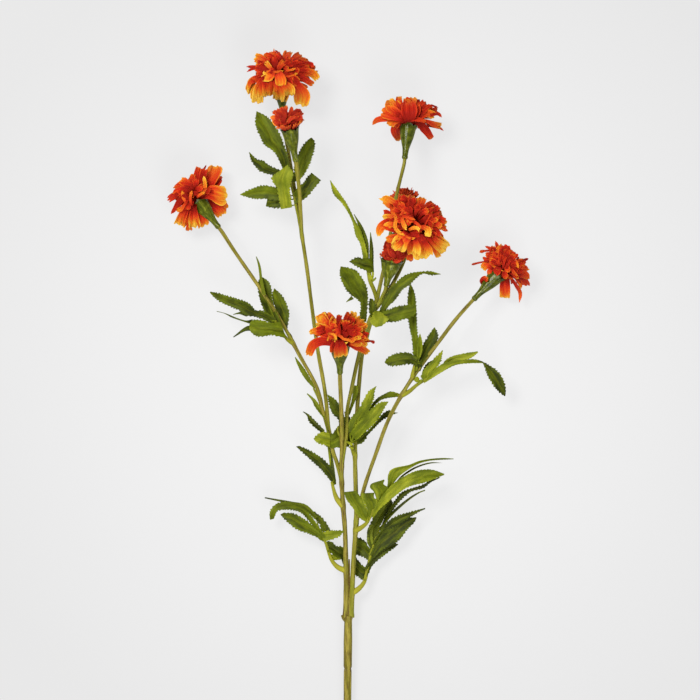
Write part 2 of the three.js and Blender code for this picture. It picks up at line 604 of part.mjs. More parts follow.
function branchSolid({ at, radius, bloom, twig }, swell = 0) {
  const main = stalk(wayTo(at, bloom), radius, STEM_SIDES, STEM_STEP, swell);
  if (!twig) return main;
  const side = stalk(wayTo(twig.at, twig.bud), [1.25, 1.3], STEM_SIDES, STEM_STEP, swell);
  return fuse([main, side]);
}

// A head's own directions, kept with its sizes
function placed(head) {
  const axis = unit(head.axis);
  return Object.assign(head, { seat: vec(head.seat), axis, ...frameOf(axis) });
}
[...Object.values(BLOOMS), ...Object.values(BUDS)].forEach(placed);

const spray = new THREE.Group();
const put = (name, solid, finish) => spray.add(meshOf(name, solid, finish));

put("main_stem", restOnTable(mainStemSolid()), FINISH.stem);

const room = {};
for (const [name, branch] of Object.entries(BRANCHES)) {
  const cut = branch.off ? branchSolid(branch).subtract(room[branch.off]) : branchSolid(branch);
  room[name] = branchSolid(branch, SEAT_GAP);
  put(`branch_${name}`, largestOf(cut.asOriginal().simplify(FINEST)), FINISH.stem);
}
for (const [name, leaf] of Object.entries(LEAVES)) {
  put(`leaf_${name}`, restOnTable(leafSolid(leaf).subtract(room[leaf.off])), FINISH.leaf);
}
for (const [name, bloom] of Object.entries(BLOOMS)) {
  put(`calyx_${name}`, calyxSolid(bloom), FINISH.calyx);
  put(`bloom_${name}`, headSolid(bloom, PETAL_RINGS, HEART), FINISH.petal);
}
for (const [name, bud] of Object.entries(BUDS)) {
  put(`bud_calyx_${name}`, calyxSolid(bud), FINISH.calyx);
  put(`bud_${name}`, headSolid(bud, BUD_RINGS, BUD_HEART), FINISH.bud);
}
// The origin is under the middle of the whole spray
const middle = new THREE.Box3().setFromObject(spray, true).getCenter(new THREE.Vector3());
spray.position.set(-middle.x, -middle.y, 0);

export default spray;
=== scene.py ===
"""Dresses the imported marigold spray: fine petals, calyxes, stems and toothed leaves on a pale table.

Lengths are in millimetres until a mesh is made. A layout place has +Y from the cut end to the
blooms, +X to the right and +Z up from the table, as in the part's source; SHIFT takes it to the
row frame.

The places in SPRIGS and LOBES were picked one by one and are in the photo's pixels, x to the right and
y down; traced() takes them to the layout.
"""

import logging
import math
from dataclasses import dataclass, field, replace
from enum import Enum
from typing import Callable, Iterator, Sequence

import bpy
import numpy as np
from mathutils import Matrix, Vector


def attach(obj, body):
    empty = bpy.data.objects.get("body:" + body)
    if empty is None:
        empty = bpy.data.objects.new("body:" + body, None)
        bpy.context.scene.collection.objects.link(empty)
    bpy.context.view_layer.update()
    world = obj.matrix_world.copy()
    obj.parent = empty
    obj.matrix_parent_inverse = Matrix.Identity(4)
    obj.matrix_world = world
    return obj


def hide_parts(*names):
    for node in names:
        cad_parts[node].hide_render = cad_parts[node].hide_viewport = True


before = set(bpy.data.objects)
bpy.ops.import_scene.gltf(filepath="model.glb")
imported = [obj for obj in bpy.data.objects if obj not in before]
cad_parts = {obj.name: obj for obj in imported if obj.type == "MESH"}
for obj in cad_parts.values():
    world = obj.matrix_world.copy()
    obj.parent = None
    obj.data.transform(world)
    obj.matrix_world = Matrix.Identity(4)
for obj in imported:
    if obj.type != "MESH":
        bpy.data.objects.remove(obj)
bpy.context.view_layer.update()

LOG = logging.getLogger("marigold")
MM = 0.001
SHIFT = np.array([2.2309, -218.404, 0.0])
UP = np.array([0.0, 0.0, 1.0])
BODY = "root"

SETTLE = 1.5  # height above its floor at which a petal or a blade begins to lie flat
LEAST_LIFT = 0.2  # height of the lowest ones above their floor
THICK = 0.34  # petals and blades
PIXEL = 0.8  # real size of one of the photo's pixels
PHOTO_FOOT = (350, 700)  # pixel where the layout's x and y are 0
SNAP = 0.5  # step to which a place on the photo is rounded
SLACK = 0.5  # pixels by which a line on the photo may pass a place that is left out
SHARP = 48  # degrees between faces from which an edge looks sharp
GOLDEN_TURN = 2.39996  # golden angle in radians, which spreads the florets evenly

Pair = tuple[float, float]
Triple = tuple[float, float, float]
Colour = tuple[float, float, float]
Stops = Sequence[tuple[float, Colour]]
Socket = bpy.types.NodeSocket
Material = bpy.types.Material


class Slot(Enum):
    """The record's material slots."""

    PETAL = "petal"
    BUD_PETAL = "bud_petal"
    CALYX = "calyx"
    STEM = "stem"
    LEAF = "leaf"


class Edge(Enum):
    """How a petal ends."""

    BROAD = "broad"
    NOTCHED = "notched"
    POINTED = "pointed"
    STRAND = "strand"


BROAD, NOTCHED, POINTED, STRAND = Edge


# Vectors and lines


def unit(vector: Sequence[float]) -> np.ndarray:
    """A vector of length one in the same direction."""
    array = np.asarray(vector, float)
    return array / np.linalg.norm(array, axis=-1, keepdims=True)


def threes(*values: float | np.ndarray) -> np.ndarray:
    """Joins three values, or grids of values, into a row of three for each point."""
    return np.stack(np.broadcast_arrays(*values), axis=-1).reshape(-1, 3)


def square_to(axis: np.ndarray) -> tuple[np.ndarray, np.ndarray]:
    """Finds two directions square to an axis, the first level with the table.

    Args:
        axis: A unit vector.

    Returns:
        The level direction and the one over it.
    """
    across = unit(np.cross(UP, axis))
    return across, np.cross(axis, across)


def dice(seed: int) -> Iterator[float]:
    """Yields the run of numbers from 0 to 1 that the part's source draws from the same seed.

    Args:
        seed: The start of the run.

    Returns:
        The endless run.
    """
    state = seed
    while True:
        state = (1664525 * state + 1013904223) % 4294967296
        yield state / 4294967296


def settled(points: np.ndarray, floor: float) -> np.ndarray:
    """Lays points that come near a floor down on it, instead of letting them pass through.

    Args:
        points: Places in layout millimetres.
        floor: The height of the floor.

    Returns:
        The places, with new heights where they were low.
    """
    rise = points[..., 2] - floor
    low = SETTLE * np.exp(np.minimum(rise, SETTLE) / SETTLE - 1)
    out = points.copy()
    out[..., 2] = floor + np.maximum(np.where(rise < SETTLE, low, rise), LEAST_LIFT)
    return out


def traced(places: Sequence[Sequence[float]]) -> np.ndarray:
    """Takes places on the photo to the layout.

    Args:
        places: x and y in pixels, and a third value or none, which stays as it is.

    Returns:
        The places, with x and y to the nearest SNAP.
    """
    points = np.array(places, float)
    points[:, :2] = np.round((points[:, :2] - PHOTO_FOOT) * (PIXEL, -PIXEL) / SNAP) * SNAP
    return points


def shaping(places: Sequence[Pair]) -> list[Pair]:
    """Leaves out the places of a line on the photo that it passes within SLACK without them.

    Args:
        places: The line's places, from end to end.

    Returns:
        The places that shape it, with both ends.
    """
    (x0, y0), (x1, y1) = places[0], places[-1]
    span = math.hypot(x1 - x0, y1 - y0)
    off = [abs((x1 - x0) * (y0 - y) - (x0 - x) * (y1 - y0)) / span for x, y in places]
    far = int(np.argmax(off))
    if off[far] <= SLACK:
        return [places[0], places[-1]]
    return shaping(places[: far + 1])[:-1] + shaping(places[far:])


class Way:
    """A smooth line through given points, measured by its own length."""

    SPAN_STEPS = 28

    def __init__(self, points: Sequence[Sequence[float]]) -> None:
        """Draws the centripetal line that the part's source draws through the same points."""
        knots = np.asarray(points, float)
        knots = np.vstack([2 * knots[0] - knots[1], knots, 2 * knots[-1] - knots[-2]])
        spans = [self._span(knots[i : i + 4]) for i in range(len(knots) - 3)]
        self.line = np.vstack([*spans, knots[-2]])
        steps = np.linalg.norm(np.diff(self.line, axis=0), axis=1)
        self.run = np.concatenate([[0], np.cumsum(steps)])
        self.length = float(self.run[-1])

    @classmethod
    def _span(cls, four: np.ndarray) -> np.ndarray:
        """The points of one span, without its last."""
        a, b, c, d = four
        ab, bc, cd = (max(math.sqrt(np.linalg.norm(q - p)), 1e-4) for p, q in ((a, b), (b, c), (c, d)))
        leave = ((b - a) / ab - (c - a) / (ab + bc) + (c - b) / bc) * bc
        reach = ((c - b) / bc - (d - b) / (bc + cd) + (d - c) / cd) * bc
        t = np.linspace(0, 1, cls.SPAN_STEPS, endpoint=False)[:, None]
        bend, turn = 3 * (c - b) - 2 * leave - reach, 2 * (b - c) + leave + reach
        return b + leave * t + bend * t**2 + turn * t**3

    def at(self, share: np.ndarray | float) -> np.ndarray:
        """The places at shares of the line's length."""
        run = np.asarray(share, float) * self.length
        return np.stack([np.interp(run, self.run, self.line[:, k]) for k in range(3)], axis=-1)

    def heading(self, share: np.ndarray) -> np.ndarray:
        """The unit directions of travel at shares of the line's length."""
        step = 0.5 / self.length
        return unit(self.at(np.minimum(share + step, 1)) - self.at(np.maximum(share - step, 0)))

    def nearest(self, place: Sequence[float]) -> float:
        """The distance along the line of its point that is nearest to a place."""
        return float(self.run[np.argmin(np.linalg.norm(self.line - np.asarray(place, float), axis=1))])


# Meshes


class Skin:
    """Gathers the patches of one piece, with where each point lies on its own petal, leaf or stem."""

    def __init__(self) -> None:
        """Starts an empty skin."""
        self.points: list[np.ndarray] = []
        self.faces: list[list[int]] = []
        self.places: list[np.ndarray] = []
        self.tints: list[np.ndarray] = []
        self.count = 0

    def add(self, points: np.ndarray, faces: list[list[int]], place: np.ndarray, tint: np.ndarray) -> None:
        """Adds a patch.

        Args:
            points: Its points in layout millimetres.
            faces: Its faces, as numbers of its own points.
            place: Where each point lies on the petal, leaf or stem.
            tint: What sets the colour at each point.
        """
        self.points.append(points)
        self.faces += [[corner + self.count for corner in face] for face in faces]
        self.places.append(np.broadcast_to(place, (len(points), 3)))
        self.tints.append(np.broadcast_to(tint, (len(points), 3)))
        self.count += len(points)

    def sheet(self, points: np.ndarray, floor: float, place: np.ndarray, tint: np.ndarray) -> None:
        """Adds a thin two-sided patch, laid down where it comes near a floor.

        Args:
            points: A grid of places, rows by columns.
            floor: The height of the floor.
            place: Where each point lies on the petal or leaf.
            tint: What sets the colour at each point, with the under side's share last.
        """
        both, faces = shell(settled(points, floor), THICK)
        under = tint.copy()
        under[:, 2] = 1
        self.add(both, faces, np.tile(place, (2, 1)), np.vstack([tint, under]))

    def piece(self, name: str, slot: Slot, material: Material, *nodes: str) -> None:
        """Makes the piece, hangs it under the root body and hides the solids that it stands for.

        Args:
            name: The piece's name.
            slot: Not used.
            material: Its material.
            nodes: The solids that it stands for.
        """
        mesh = bpy.data.meshes.new(name)
        points = (np.vstack(self.points) + SHIFT) * MM
        mesh.from_pydata(points.tolist(), [], self.faces)
        for label, rows in (("place", self.places), ("tint", self.tints)):
            values = mesh.attributes.new(label, "FLOAT_VECTOR", "POINT")
            values.data.foreach_set("vector", np.vstack(rows).astype(np.float32).ravel())
        mesh.shade_smooth()
        mesh.set_sharp_from_angle(angle=math.radians(SHARP))
        mesh.materials.append(material)
        item = bpy.data.objects.new(name, mesh)
        bpy.context.scene.collection.objects.link(item)
        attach(item, BODY)
        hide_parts(*nodes)
        LOG.info("%s: %d points, %d faces", name, len(points), len(self.faces))


def grid_faces(rows: int, columns: int, start: int = 0, flip: bool = False) -> list[list[int]]:
    """Numbers the faces of a grid of points, row by row.

    Args:
        rows: How many rows of points.
        columns: How many points in a row.
        start: The number of the first point.
        flip: Whether the faces look to the other side.

    Returns:
        The four corners of each face.
    """
    first = (start + np.arange(rows - 1)[:, None] * columns + np.arange(columns - 1)).ravel()
    quads = np.stack([first, first + 1, first + columns + 1, first + columns], axis=1)
    return (quads[:, ::-1] if flip else quads).tolist()


def shell(points: np.ndarray, thick: float) -> tuple[np.ndarray, list[list[int]]]:
    """Thickens a grid of points to both sides alike and closes its edge.

    Args:
        points: A grid of places, rows by columns.
        thick: The thickness.

    Returns:
        The points of the upper side, then of the under side, and the faces.
    """
    rows, columns, _ = points.shape
    outward = np.cross(np.gradient(points, axis=0), np.gradient(points, axis=1))
    length = np.linalg.norm(outward, axis=-1, keepdims=True)
    outward = outward / np.maximum(length, 1e-9)
    half = outward * thick / 2
    both = np.concatenate([(points + half).reshape(-1, 3), (points - half).reshape(-1, 3)])
    below = rows * columns
    numbers = np.arange(below).reshape(rows, columns)
    rim = np.concatenate([numbers[0], numbers[1:, -1], numbers[-1, -2::-1], numbers[-2:0:-1, 0]])
    after = np.roll(rim, -1)
    wall = np.stack([rim, after, after + below, rim + below], axis=1).tolist()
    return both, grid_faces(rows, columns, 0, True) + grid_faces(rows, columns, below) + wall


def tube(
    way: Way, shares: np.ndarray, radius: Callable[[np.ndarray, np.ndarray], np.ndarray], sides: int
) -> tuple[np.ndarray, list[list[int]], np.ndarray]:
    """Wraps a closed skin round a line.

    Args:
        way: The line.
        shares: Where its rings lie, as shares of the length.
        radius: Gives the radius from distances along and angles round.
        sides: How many points in a ring.

    Returns:
        The points, the faces, and each point's angle and distance along.
    """
    centres, ahead = way.at(shares), way.heading(shares)
    normal = square_to(ahead[0])[0] if abs(ahead[0][2]) < 0.99 else np.array([1.0, 0, 0])
    normals = []
    for direction in ahead:
        normal = unit(normal - direction * (normal @ direction))
        normals.append(normal)
    across = np.array(normals)
    over = np.cross(ahead, across)
    angles = 2 * np.pi * np.arange(sides) / sides
    along = shares * way.length
    reach = radius(along[:, None], angles[None, :])[..., None]
    ringed = across[:, None] * np.cos(angles)[None, :, None] + over[:, None] * np.sin(angles)[None, :, None]
    points = centres[:, None] + ringed * reach
    place = threes(angles[None, :], along[:, None], 0.0)
    return points.reshape(-1, 3), wrapped_faces(len(shares), sides), place


def wrapped_faces(rows: int, sides: int) -> list[list[int]]:
    """Numbers the faces of rings of points that close on themselves, with both ends shut.

    Args:
        rows: How many rings.
        sides: How many points in a ring.

    Returns:
        The corners of each face.
    """
    numbers = np.arange(rows * sides).reshape(rows, sides)
    after = np.roll(numbers, -1, axis=1)
    quads = np.stack([numbers[:-1], after[:-1], after[1:], numbers[1:]], axis=-1).reshape(-1, 4).tolist()
    return quads + [numbers[0, ::-1].tolist(), numbers[-1].tolist()]


# Finishes


class Palette:
    """Builds one procedural material, node by node."""

    def __init__(self, name: str) -> None:
        """Starts a material with its shader."""
        self.material = bpy.data.materials.new(name)
        self.material.use_nodes = True
        self.tree = self.material.node_tree
        self.shader = self.tree.nodes["Principled BSDF"]

    def node(self, kind: str, **settings: object) -> bpy.types.Node:
        """Adds a node and sets its options."""
        made = self.tree.nodes.new(kind)
        for key, value in settings.items():
            setattr(made, key, value)
        return made

    def link(self, out: Socket, into: Socket) -> None:
        """Joins two sockets."""
        self.tree.links.new(out, into)

    def parts(self, label: str) -> tuple[Socket, ...]:
        """The vector of a mesh attribute and its three values."""
        read = self.node("ShaderNodeAttribute", attribute_name=label)
        split = self.node("ShaderNodeSeparateXYZ")
        self.link(read.outputs["Vector"], split.inputs[0])
        return read.outputs["Vector"], *split.outputs

    def sum(self, *terms: tuple[Socket, float], base: float = 0.0) -> Socket:
        """Adds weighted values.

        Args:
            terms: Each value with its weight.
            base: What the sum starts from.

        Returns:
            The sum.
        """
        total: Socket | None = None
        for value, weight in terms:
            step = self.node("ShaderNodeMath", operation="MULTIPLY_ADD")
            self.link(value, step.inputs[0])
            step.inputs[1].default_value = weight
            if total is None:
                step.inputs[2].default_value = base
            else:
                self.link(total, step.inputs[2])
            total = step.outputs[0]
        return total

    def noise(self, vector: Socket, stretch: Triple, detail: float = 3.0) -> Socket:
        """Soft random values over a stretched pattern.

        Args:
            vector: The coordinates.
            stretch: The scale along each of them.
            detail: How many finer layers are added.

        Returns:
            The values, from 0 to 1.
        """
        scaled = self.node("ShaderNodeVectorMath", operation="MULTIPLY")
        self.link(vector, scaled.inputs[0])
        scaled.inputs[1].default_value = stretch
        made = self.node("ShaderNodeTexNoise")
        made.inputs["Scale"].default_value = 1.0
        made.inputs["Detail"].default_value = detail
        self.link(scaled.outputs[0], made.inputs["Vector"])
        return made.outputs["Fac"]

    def ramp(self, value: Socket, stops: Stops) -> Socket:
        """Turns a value into a colour.

        Args:
            value: The value, from 0 to 1.
            stops: Each colour with the value that it stands at.

        Returns:
            The colour.
        """
        made = self.node("ShaderNodeValToRGB")
        steps = made.color_ramp.elements
        while len(steps) < len(stops):
            steps.new(1.0)
        for step, (place, colour) in zip(steps, stops):
            step.position = place
            step.color = (*colour, 1)
        self.link(value, made.inputs["Fac"])
        return made.outputs["Color"]

    def blend(self, share: Socket, one: Socket | Colour, other: Socket | Colour) -> Socket:
        """Mixes two colours.

        Args:
            share: How much of the second colour.
            one: The first colour.
            other: The second colour.

        Returns:
            The mixed colour.
        """
        made = self.node("ShaderNodeMix", data_type="RGBA", clamp_factor=True)
        self.link(share, made.inputs["Factor"])
        for socket, colour in ((made.inputs[6], one), (made.inputs[7], other)):
            if isinstance(colour, tuple):
                socket.default_value = (*colour, 1)
            else:
                self.link(colour, socket)
        return made.outputs[2]

    def finish(
        self, colour: Socket, relief: Socket, depth: float, rough: Socket, **shader: float | Triple
    ) -> Material:
        """Joins the colour, relief and roughness to the shader.

        Args:
            colour: The colour.
            relief: The height of the surface's grain.
            depth: The depth of that grain in millimetres.
            rough: The roughness.
            shader: Plain values for the shader's own sockets.

        Returns:
            The finished material.
        """
        bump = self.node("ShaderNodeBump")
        bump.inputs["Strength"].default_value = 1.0
        bump.inputs["Distance"].default_value = depth * MM
        self.link(relief, bump.inputs["Height"])
        self.link(bump.outputs["Normal"], self.shader.inputs["Normal"])
        self.link(colour, self.shader.inputs["Base Color"])
        self.link(rough, self.shader.inputs["Roughness"])
        for label, value in shader.items():
            self.shader.inputs[label.replace("_", " ")].default_value = value
        return self.material


@dataclass(frozen=True)
class PetalFinish:
    """Silky petals, deep red at the root and golden at the rim."""

    name: str
    stops: Stops
    under: Colour

    def material(self) -> Material:
        """Builds the material: place is (share of length, side, petal), tint (gold, painted shade, under
        side).
        """
        paint = Palette(self.name)
        place, length, _, _ = paint.parts("place")
        _, gold, shade, under = paint.parts("tint")
        streaks = paint.noise(place, (2.2, 5.5, 31.0), 5)
        clouds = paint.noise(place, (3.2, 2.2, 17.0), 2)
        veins = paint.noise(place, (0.8, 26.0, 31.0), 2)
        height = paint.sum((length, 0.58), (gold, 0.46), (streaks, 0.58), (clouds, 0.54), base=-0.68)
        face = paint.ramp(height, self.stops)
        dull = paint.blend(paint.sum((under, 0.55)), face, self.under)
        # Painted shade: a deep, almost black red where the shade tint is high.
        dark = paint.blend(paint.sum((shade, 1.0)), dull, (0.18, 0.006, 0.003))
        rough = paint.sum((veins, 0.3), base=0.42)
        return paint.finish(
            dark, veins, 0.2, rough, Specular_IOR_Level=0.05, Subsurface_Weight=0.08,
            Subsurface_Radius=(1.0, 0.2, 0.05), Subsurface_Scale=0.002,
        )


@dataclass(frozen=True)
class LeafFinish:
    """Soft green leaves with a pale rib, fine veins and lighter under sides."""

    name: str
    dark: Colour
    mid: Colour
    bright: Colour
    under: Colour
    rib: Colour

    def material(self) -> Material:
        """Builds the material: place is (millimetres along, across, leaf), tint (light, rib, under side)."""
        paint = Palette(self.name)
        place, _, _, _ = paint.parts("place")
        _, light, rib, under = paint.parts("tint")
        mottle = paint.noise(place, (0.08, 0.3, 9.0), 5)
        grain = paint.noise(place, (0.9, 1.6, 9.0), 3)
        # The light tint is partly the leaf's own tone and partly painted light and shade.
        green = paint.ramp(
            paint.sum((light, 0.9), (mottle, 1.35), (grain, 0.35), base=-0.79),
            ((0.0, self.dark), (0.5, self.mid), (1.0, self.bright)),
        )
        veined = paint.blend(paint.sum((rib, 0.1)), green, self.rib)
        whole = paint.blend(paint.sum((under, 0.6)), veined, self.under)
        rough = paint.sum((grain, 0.25), base=0.42)
        return paint.finish(whole, grain, 0.14, rough, Specular_IOR_Level=0.1)


@dataclass(frozen=True)
class StemFinish:
    """Olive stems with tan light and brown streaks along them."""

    name: str
    olive: Colour
    tan: Colour
    brown: Colour
    green: Colour
    pith: Colour

    def material(self) -> Material:
        """Builds the material: place is (round, along, stem), tint (brown, green, cut face)."""
        paint = Palette(self.name)
        place, _, _, _ = paint.parts("place")
        _, brown, green, cut = paint.parts("tint")
        broad = paint.noise(place, (1.1, 0.05, 13.0), 4)
        streaks = paint.noise(place, (2.4, 0.09, 13.0), 5)
        fibre = paint.noise(place, (5.5, 0.35, 13.0), 3)
        mixed = paint.sum((broad, 1.0), (fibre, 0.3), base=-0.15)
        base = paint.ramp(mixed, ((0.38, self.olive), (0.62, self.tan)))
        greened = paint.blend(paint.sum((green, 1.0)), base, self.green)
        browned = paint.blend(paint.sum((streaks, 4.4), (brown, 0.6), base=-2.1), greened, self.brown)
        whole = paint.blend(paint.sum((cut, 1.0)), browned, self.pith)
        rough = paint.sum((fibre, 0.3), base=0.33)
        return paint.finish(whole, fibre, 0.25, rough, Specular_IOR_Level=0.17)


@dataclass(frozen=True)
class CalyxFinish:
    """Glossy green calyxes with pale flecks, and painted shade in the grooves between the lobes and inside
    the mouth.
    """

    name: str
    dark: Colour
    mid: Colour
    pale: Colour

    def material(self) -> Material:
        """Builds the material: place is (round, along, calyx), tint (light, painted shade in grooves,
        inside).
        """
        paint = Palette(self.name)
        place, _, _, _ = paint.parts("place")
        _, light, groove_shade, inside = paint.parts("tint")
        streaks = paint.noise(place, (2.6, 0.2, 9.0), 4)
        flecks = paint.noise(place, (2.2, 0.4, 9.0), 3)
        green = paint.ramp(
            paint.sum((streaks, 1.5), (flecks, 0.8), (light, 0.5), base=-0.93),
            ((0.15, self.dark), (0.6, self.mid), (1.0, self.pale)),
        )
        # Painted shade in the grooves between the lobes.
        shaded = paint.blend(paint.sum((groove_shade, 0.55)), green, self.dark)
        # Painted shade inside the mouth.
        whole = paint.blend(paint.sum((inside, 0.8)), shaded, self.dark)
        rough = paint.sum((flecks, 0.2), base=0.14)
        return paint.finish(whole, flecks, 0.2, rough, Specular_IOR_Level=0.2)


@dataclass(frozen=True)
class FloorFinish:
    """A pale table top that glows, with painted light a little brighter round its middle."""

    name: str
    light: Colour
    shade: Colour
    painted_glow: Stops
    middle: Triple

    def material(self) -> Material:
        """Builds the material over the floor's own surface, a painted glow a little brighter round its
        middle.
        """
        paint = Palette(self.name)
        where = paint.node("ShaderNodeTexCoord")
        moved = paint.node("ShaderNodeMapping")
        moved.inputs["Location"].default_value = self.middle
        paint.link(where.outputs["Object"], moved.inputs["Vector"])
        # Painted light: the table glows, most round its middle.
        light_pool = paint.node("ShaderNodeTexGradient", gradient_type="SPHERICAL")
        paint.link(moved.outputs["Vector"], light_pool.inputs["Vector"])
        paint.link(paint.ramp(light_pool.outputs["Fac"], self.painted_glow), paint.shader.inputs["Emission Color"])
        cloud = paint.noise(where.outputs["Object"], (2.0, 2.0, 2.0), 1)
        grain = paint.noise(where.outputs["Object"], (900.0, 900.0, 900.0), 2)
        tone = paint.ramp(cloud, ((0.3, self.shade), (0.7, self.light)))
        rough = paint.sum((grain, 0.1), base=0.8)
        return paint.finish(tone, grain, 0.01, rough, Specular_IOR_Level=0.1, Emission_Strength=1.0)


PETAL_FINISH = PetalFinish(
    "petal_silk",
    (
        (0.0, (0.27, 0.009, 0.004)),
        (0.2, (0.45, 0.017, 0.006)),
        (0.42, (0.59, 0.052, 0.009)),
        (0.62, (0.66, 0.132, 0.012)),
        (0.82, (0.74, 0.28, 0.016)),
        (1.0, (0.84, 0.48, 0.052)),
    ),
    (0.62, 0.075, 0.016),
)
BUD_FINISH = PetalFinish(
    "bud_silk",
    (
        (0.0, (0.25, 0.012, 0.006)),
        (0.35, (0.47, 0.032, 0.011)),
        (0.62, (0.66, 0.085, 0.018)),
        (0.85, (0.78, 0.20, 0.022)),
        (1.0, (0.86, 0.38, 0.05)),
    ),
    (0.55, 0.07, 0.018),
)
HEART_FINISH = PetalFinish(
    "heart_florets",
    (
        (0.0, (0.20, 0.010, 0.003)),
        (0.4, (0.34, 0.030, 0.004)),
        (0.7, (0.42, 0.15, 0.010)),
        (0.9, (0.42, 0.32, 0.03)),
        (1.0, (0.55, 0.44, 0.06)),
    ),
    (0.3, 0.06, 0.01),
)
LEAF_FINISH = LeafFinish(
    "leaf_green", (0.012, 0.020, 0.0005), (0.105, 0.135, 0.002), (0.33, 0.35, 0.018),
    (0.19, 0.22, 0.018), (0.42, 0.37, 0.035),
)
STEM_FINISH = StemFinish(
    "stem_olive", (0.132, 0.112, 0.0075), (0.325, 0.26, 0.043), (0.085, 0.045, 0.010),
    (0.21, 0.23, 0.012), (0.48, 0.44, 0.2),
)
CALYX_FINISH = CalyxFinish("calyx_gloss", (0.026, 0.038, 0.002), (0.115, 0.135, 0.007), (0.34, 0.36, 0.05))
FLOOR_FINISH = FloorFinish(
    "table_pale", (0.105, 0.105, 0.105), (0.1, 0.1, 0.1),
    # Painted glow, from the middle out.
    (
        (0.3, (0.635, 0.635, 0.637)), (0.64, (0.646, 0.646, 0.649)), (0.734, (0.677, 0.677, 0.681)),
        (0.784, (0.697, 0.697, 0.701)), (0.9, (0.736, 0.736, 0.74)), (1.0, (0.755, 0.755, 0.759)),
    ),
    (-0.025, -0.062, 0.0),
)


# Blooms and buds


@dataclass(frozen=True)
class PetalRing:
    """One ring of petals: angles in degrees above the bloom's own plane, lengths for a full bloom."""

    count: int
    long: float
    half: float
    rise: float
    fall: float
    height: float
    cup: float
    edge: Edge
    gold: float = 0.0
    trough: float = 0.0
    root: float = 3.0


BLOOM_RINGS = (
    PetalRing(7, 26, 8, 12, -68, 1.5, 0.14, BROAD, 0.12),
    PetalRing(7, 25.5, 7.8, 32, -18, 3, -0.1, BROAD, 0.02, 0.12),
    PetalRing(6, 22, 6.8, 52, 18, 4.4, -0.15, NOTCHED, -0.3, 0.4),
    PetalRing(5, 17, 5.2, 72, 54, 5.2, -0.2, NOTCHED, -0.5, 0.5),
)
FILL_RINGS = (
    PetalRing(6, 24, 3.4, 24, -30, 3.0, -0.1, NOTCHED, -0.2, 0.5),
    PetalRing(8, 21.5, 3.4, 42, 0, 4.2, -0.1, NOTCHED, -0.35, 0.6),
    PetalRing(8, 18.5, 3.4, 58, 24, 5.0, -0.1, NOTCHED, -0.45, 0.7),
    PetalRing(7, 15.5, 2.8, 74, 42, 5.6, -0.1, NOTCHED, -0.6, 0.8),
    PetalRing(5, 12.5, 2.0, 84, 66, 6.0, -0.1, NOTCHED, -0.7, 0.8),
    PetalRing(7, 27, 0.6, 24, -14, 4.0, 0.0, STRAND, -0.7),
    PetalRing(9, 21, 0.5, 50, 16, 5.0, 0.0, STRAND, -0.8),
    PetalRing(8, 16, 0.5, 70, 40, 5.5, 0.0, STRAND, -0.8),
)
BUD_RINGS = (
    PetalRing(8, 13.5, 3.3, 62, 24, 0.8, -0.2, POINTED, 0.1, 0.2),
    PetalRing(6, 13, 3, 72, 50, 1.2, -0.2, POINTED, 0.0, 0.4),
    PetalRing(3, 12, 2.8, 84, 76, 1.4, -0.2, POINTED, -0.1, 0.4),
)
BUD_FILL = (
    PetalRing(13, 9.5, 2.8, 52, 26, -1.4, -0.1, NOTCHED, 0.15, 0.4, 6.0),
    PetalRing(9, 12.2, 2.3, 66, 34, 1.2, -0.1, NOTCHED, 0.0, 0.6),
    PetalRing(8, 11.5, 2.3, 78, 52, 1.4, -0.1, NOTCHED, -0.1, 0.7),
    PetalRing(5, 10.5, 1.8, 86, 76, 1.6, -0.1, NOTCHED, -0.15, 0.7),
    PetalRing(5, 14, 0.5, 60, 30, 1.2, 0.0, STRAND, -0.2),
)


@dataclass
class Head:
    """What a bloom or a bud sits on and faces, with its calyx.

    The dome holds the middle, the half sizes and the height of the rounded mass of petals as seen from
    above. The ruffles are how many small petals are scattered over it, the place they spread from, their
    height over the dome, how golden they are, and the share of the dome within which they end. The ring
    petals have the share core of their size, and broad ones that point further up than bare are left out.
    The depth is painted shade laid over all its ring petals.
    """

    name: str
    seat: Triple
    axis: Triple
    calyx: float
    size: float
    seed: int
    floor: float = 0.0
    droop: float = 1.0
    turn: float = 0.0
    gold: float = 0.5
    depth: float = 0.0
    light: float = 0.5
    core: float = 0.78
    dome: Sequence[float] = (0.0, 0.0, 1.0, 1.0, 0.0)
    bare: float = 2.0
    ruffles: Sequence[float] = (0, 0.0, 0.0, 0.0, 0.0, 0.0)
    girth: float = 1.0

    def __post_init__(self) -> None:
        """Works out the head's own directions."""
        self.middle = np.array(self.seat, float)
        self.dome = np.array(self.dome, float)
        self.ahead = unit(self.axis)
        self.across, self.over = square_to(self.ahead)

    def around(self, turn: float | np.ndarray) -> np.ndarray:
        """The direction out from the axis at an angle."""
        return np.cos(turn)[..., None] * self.across + np.sin(turn)[..., None] * self.over


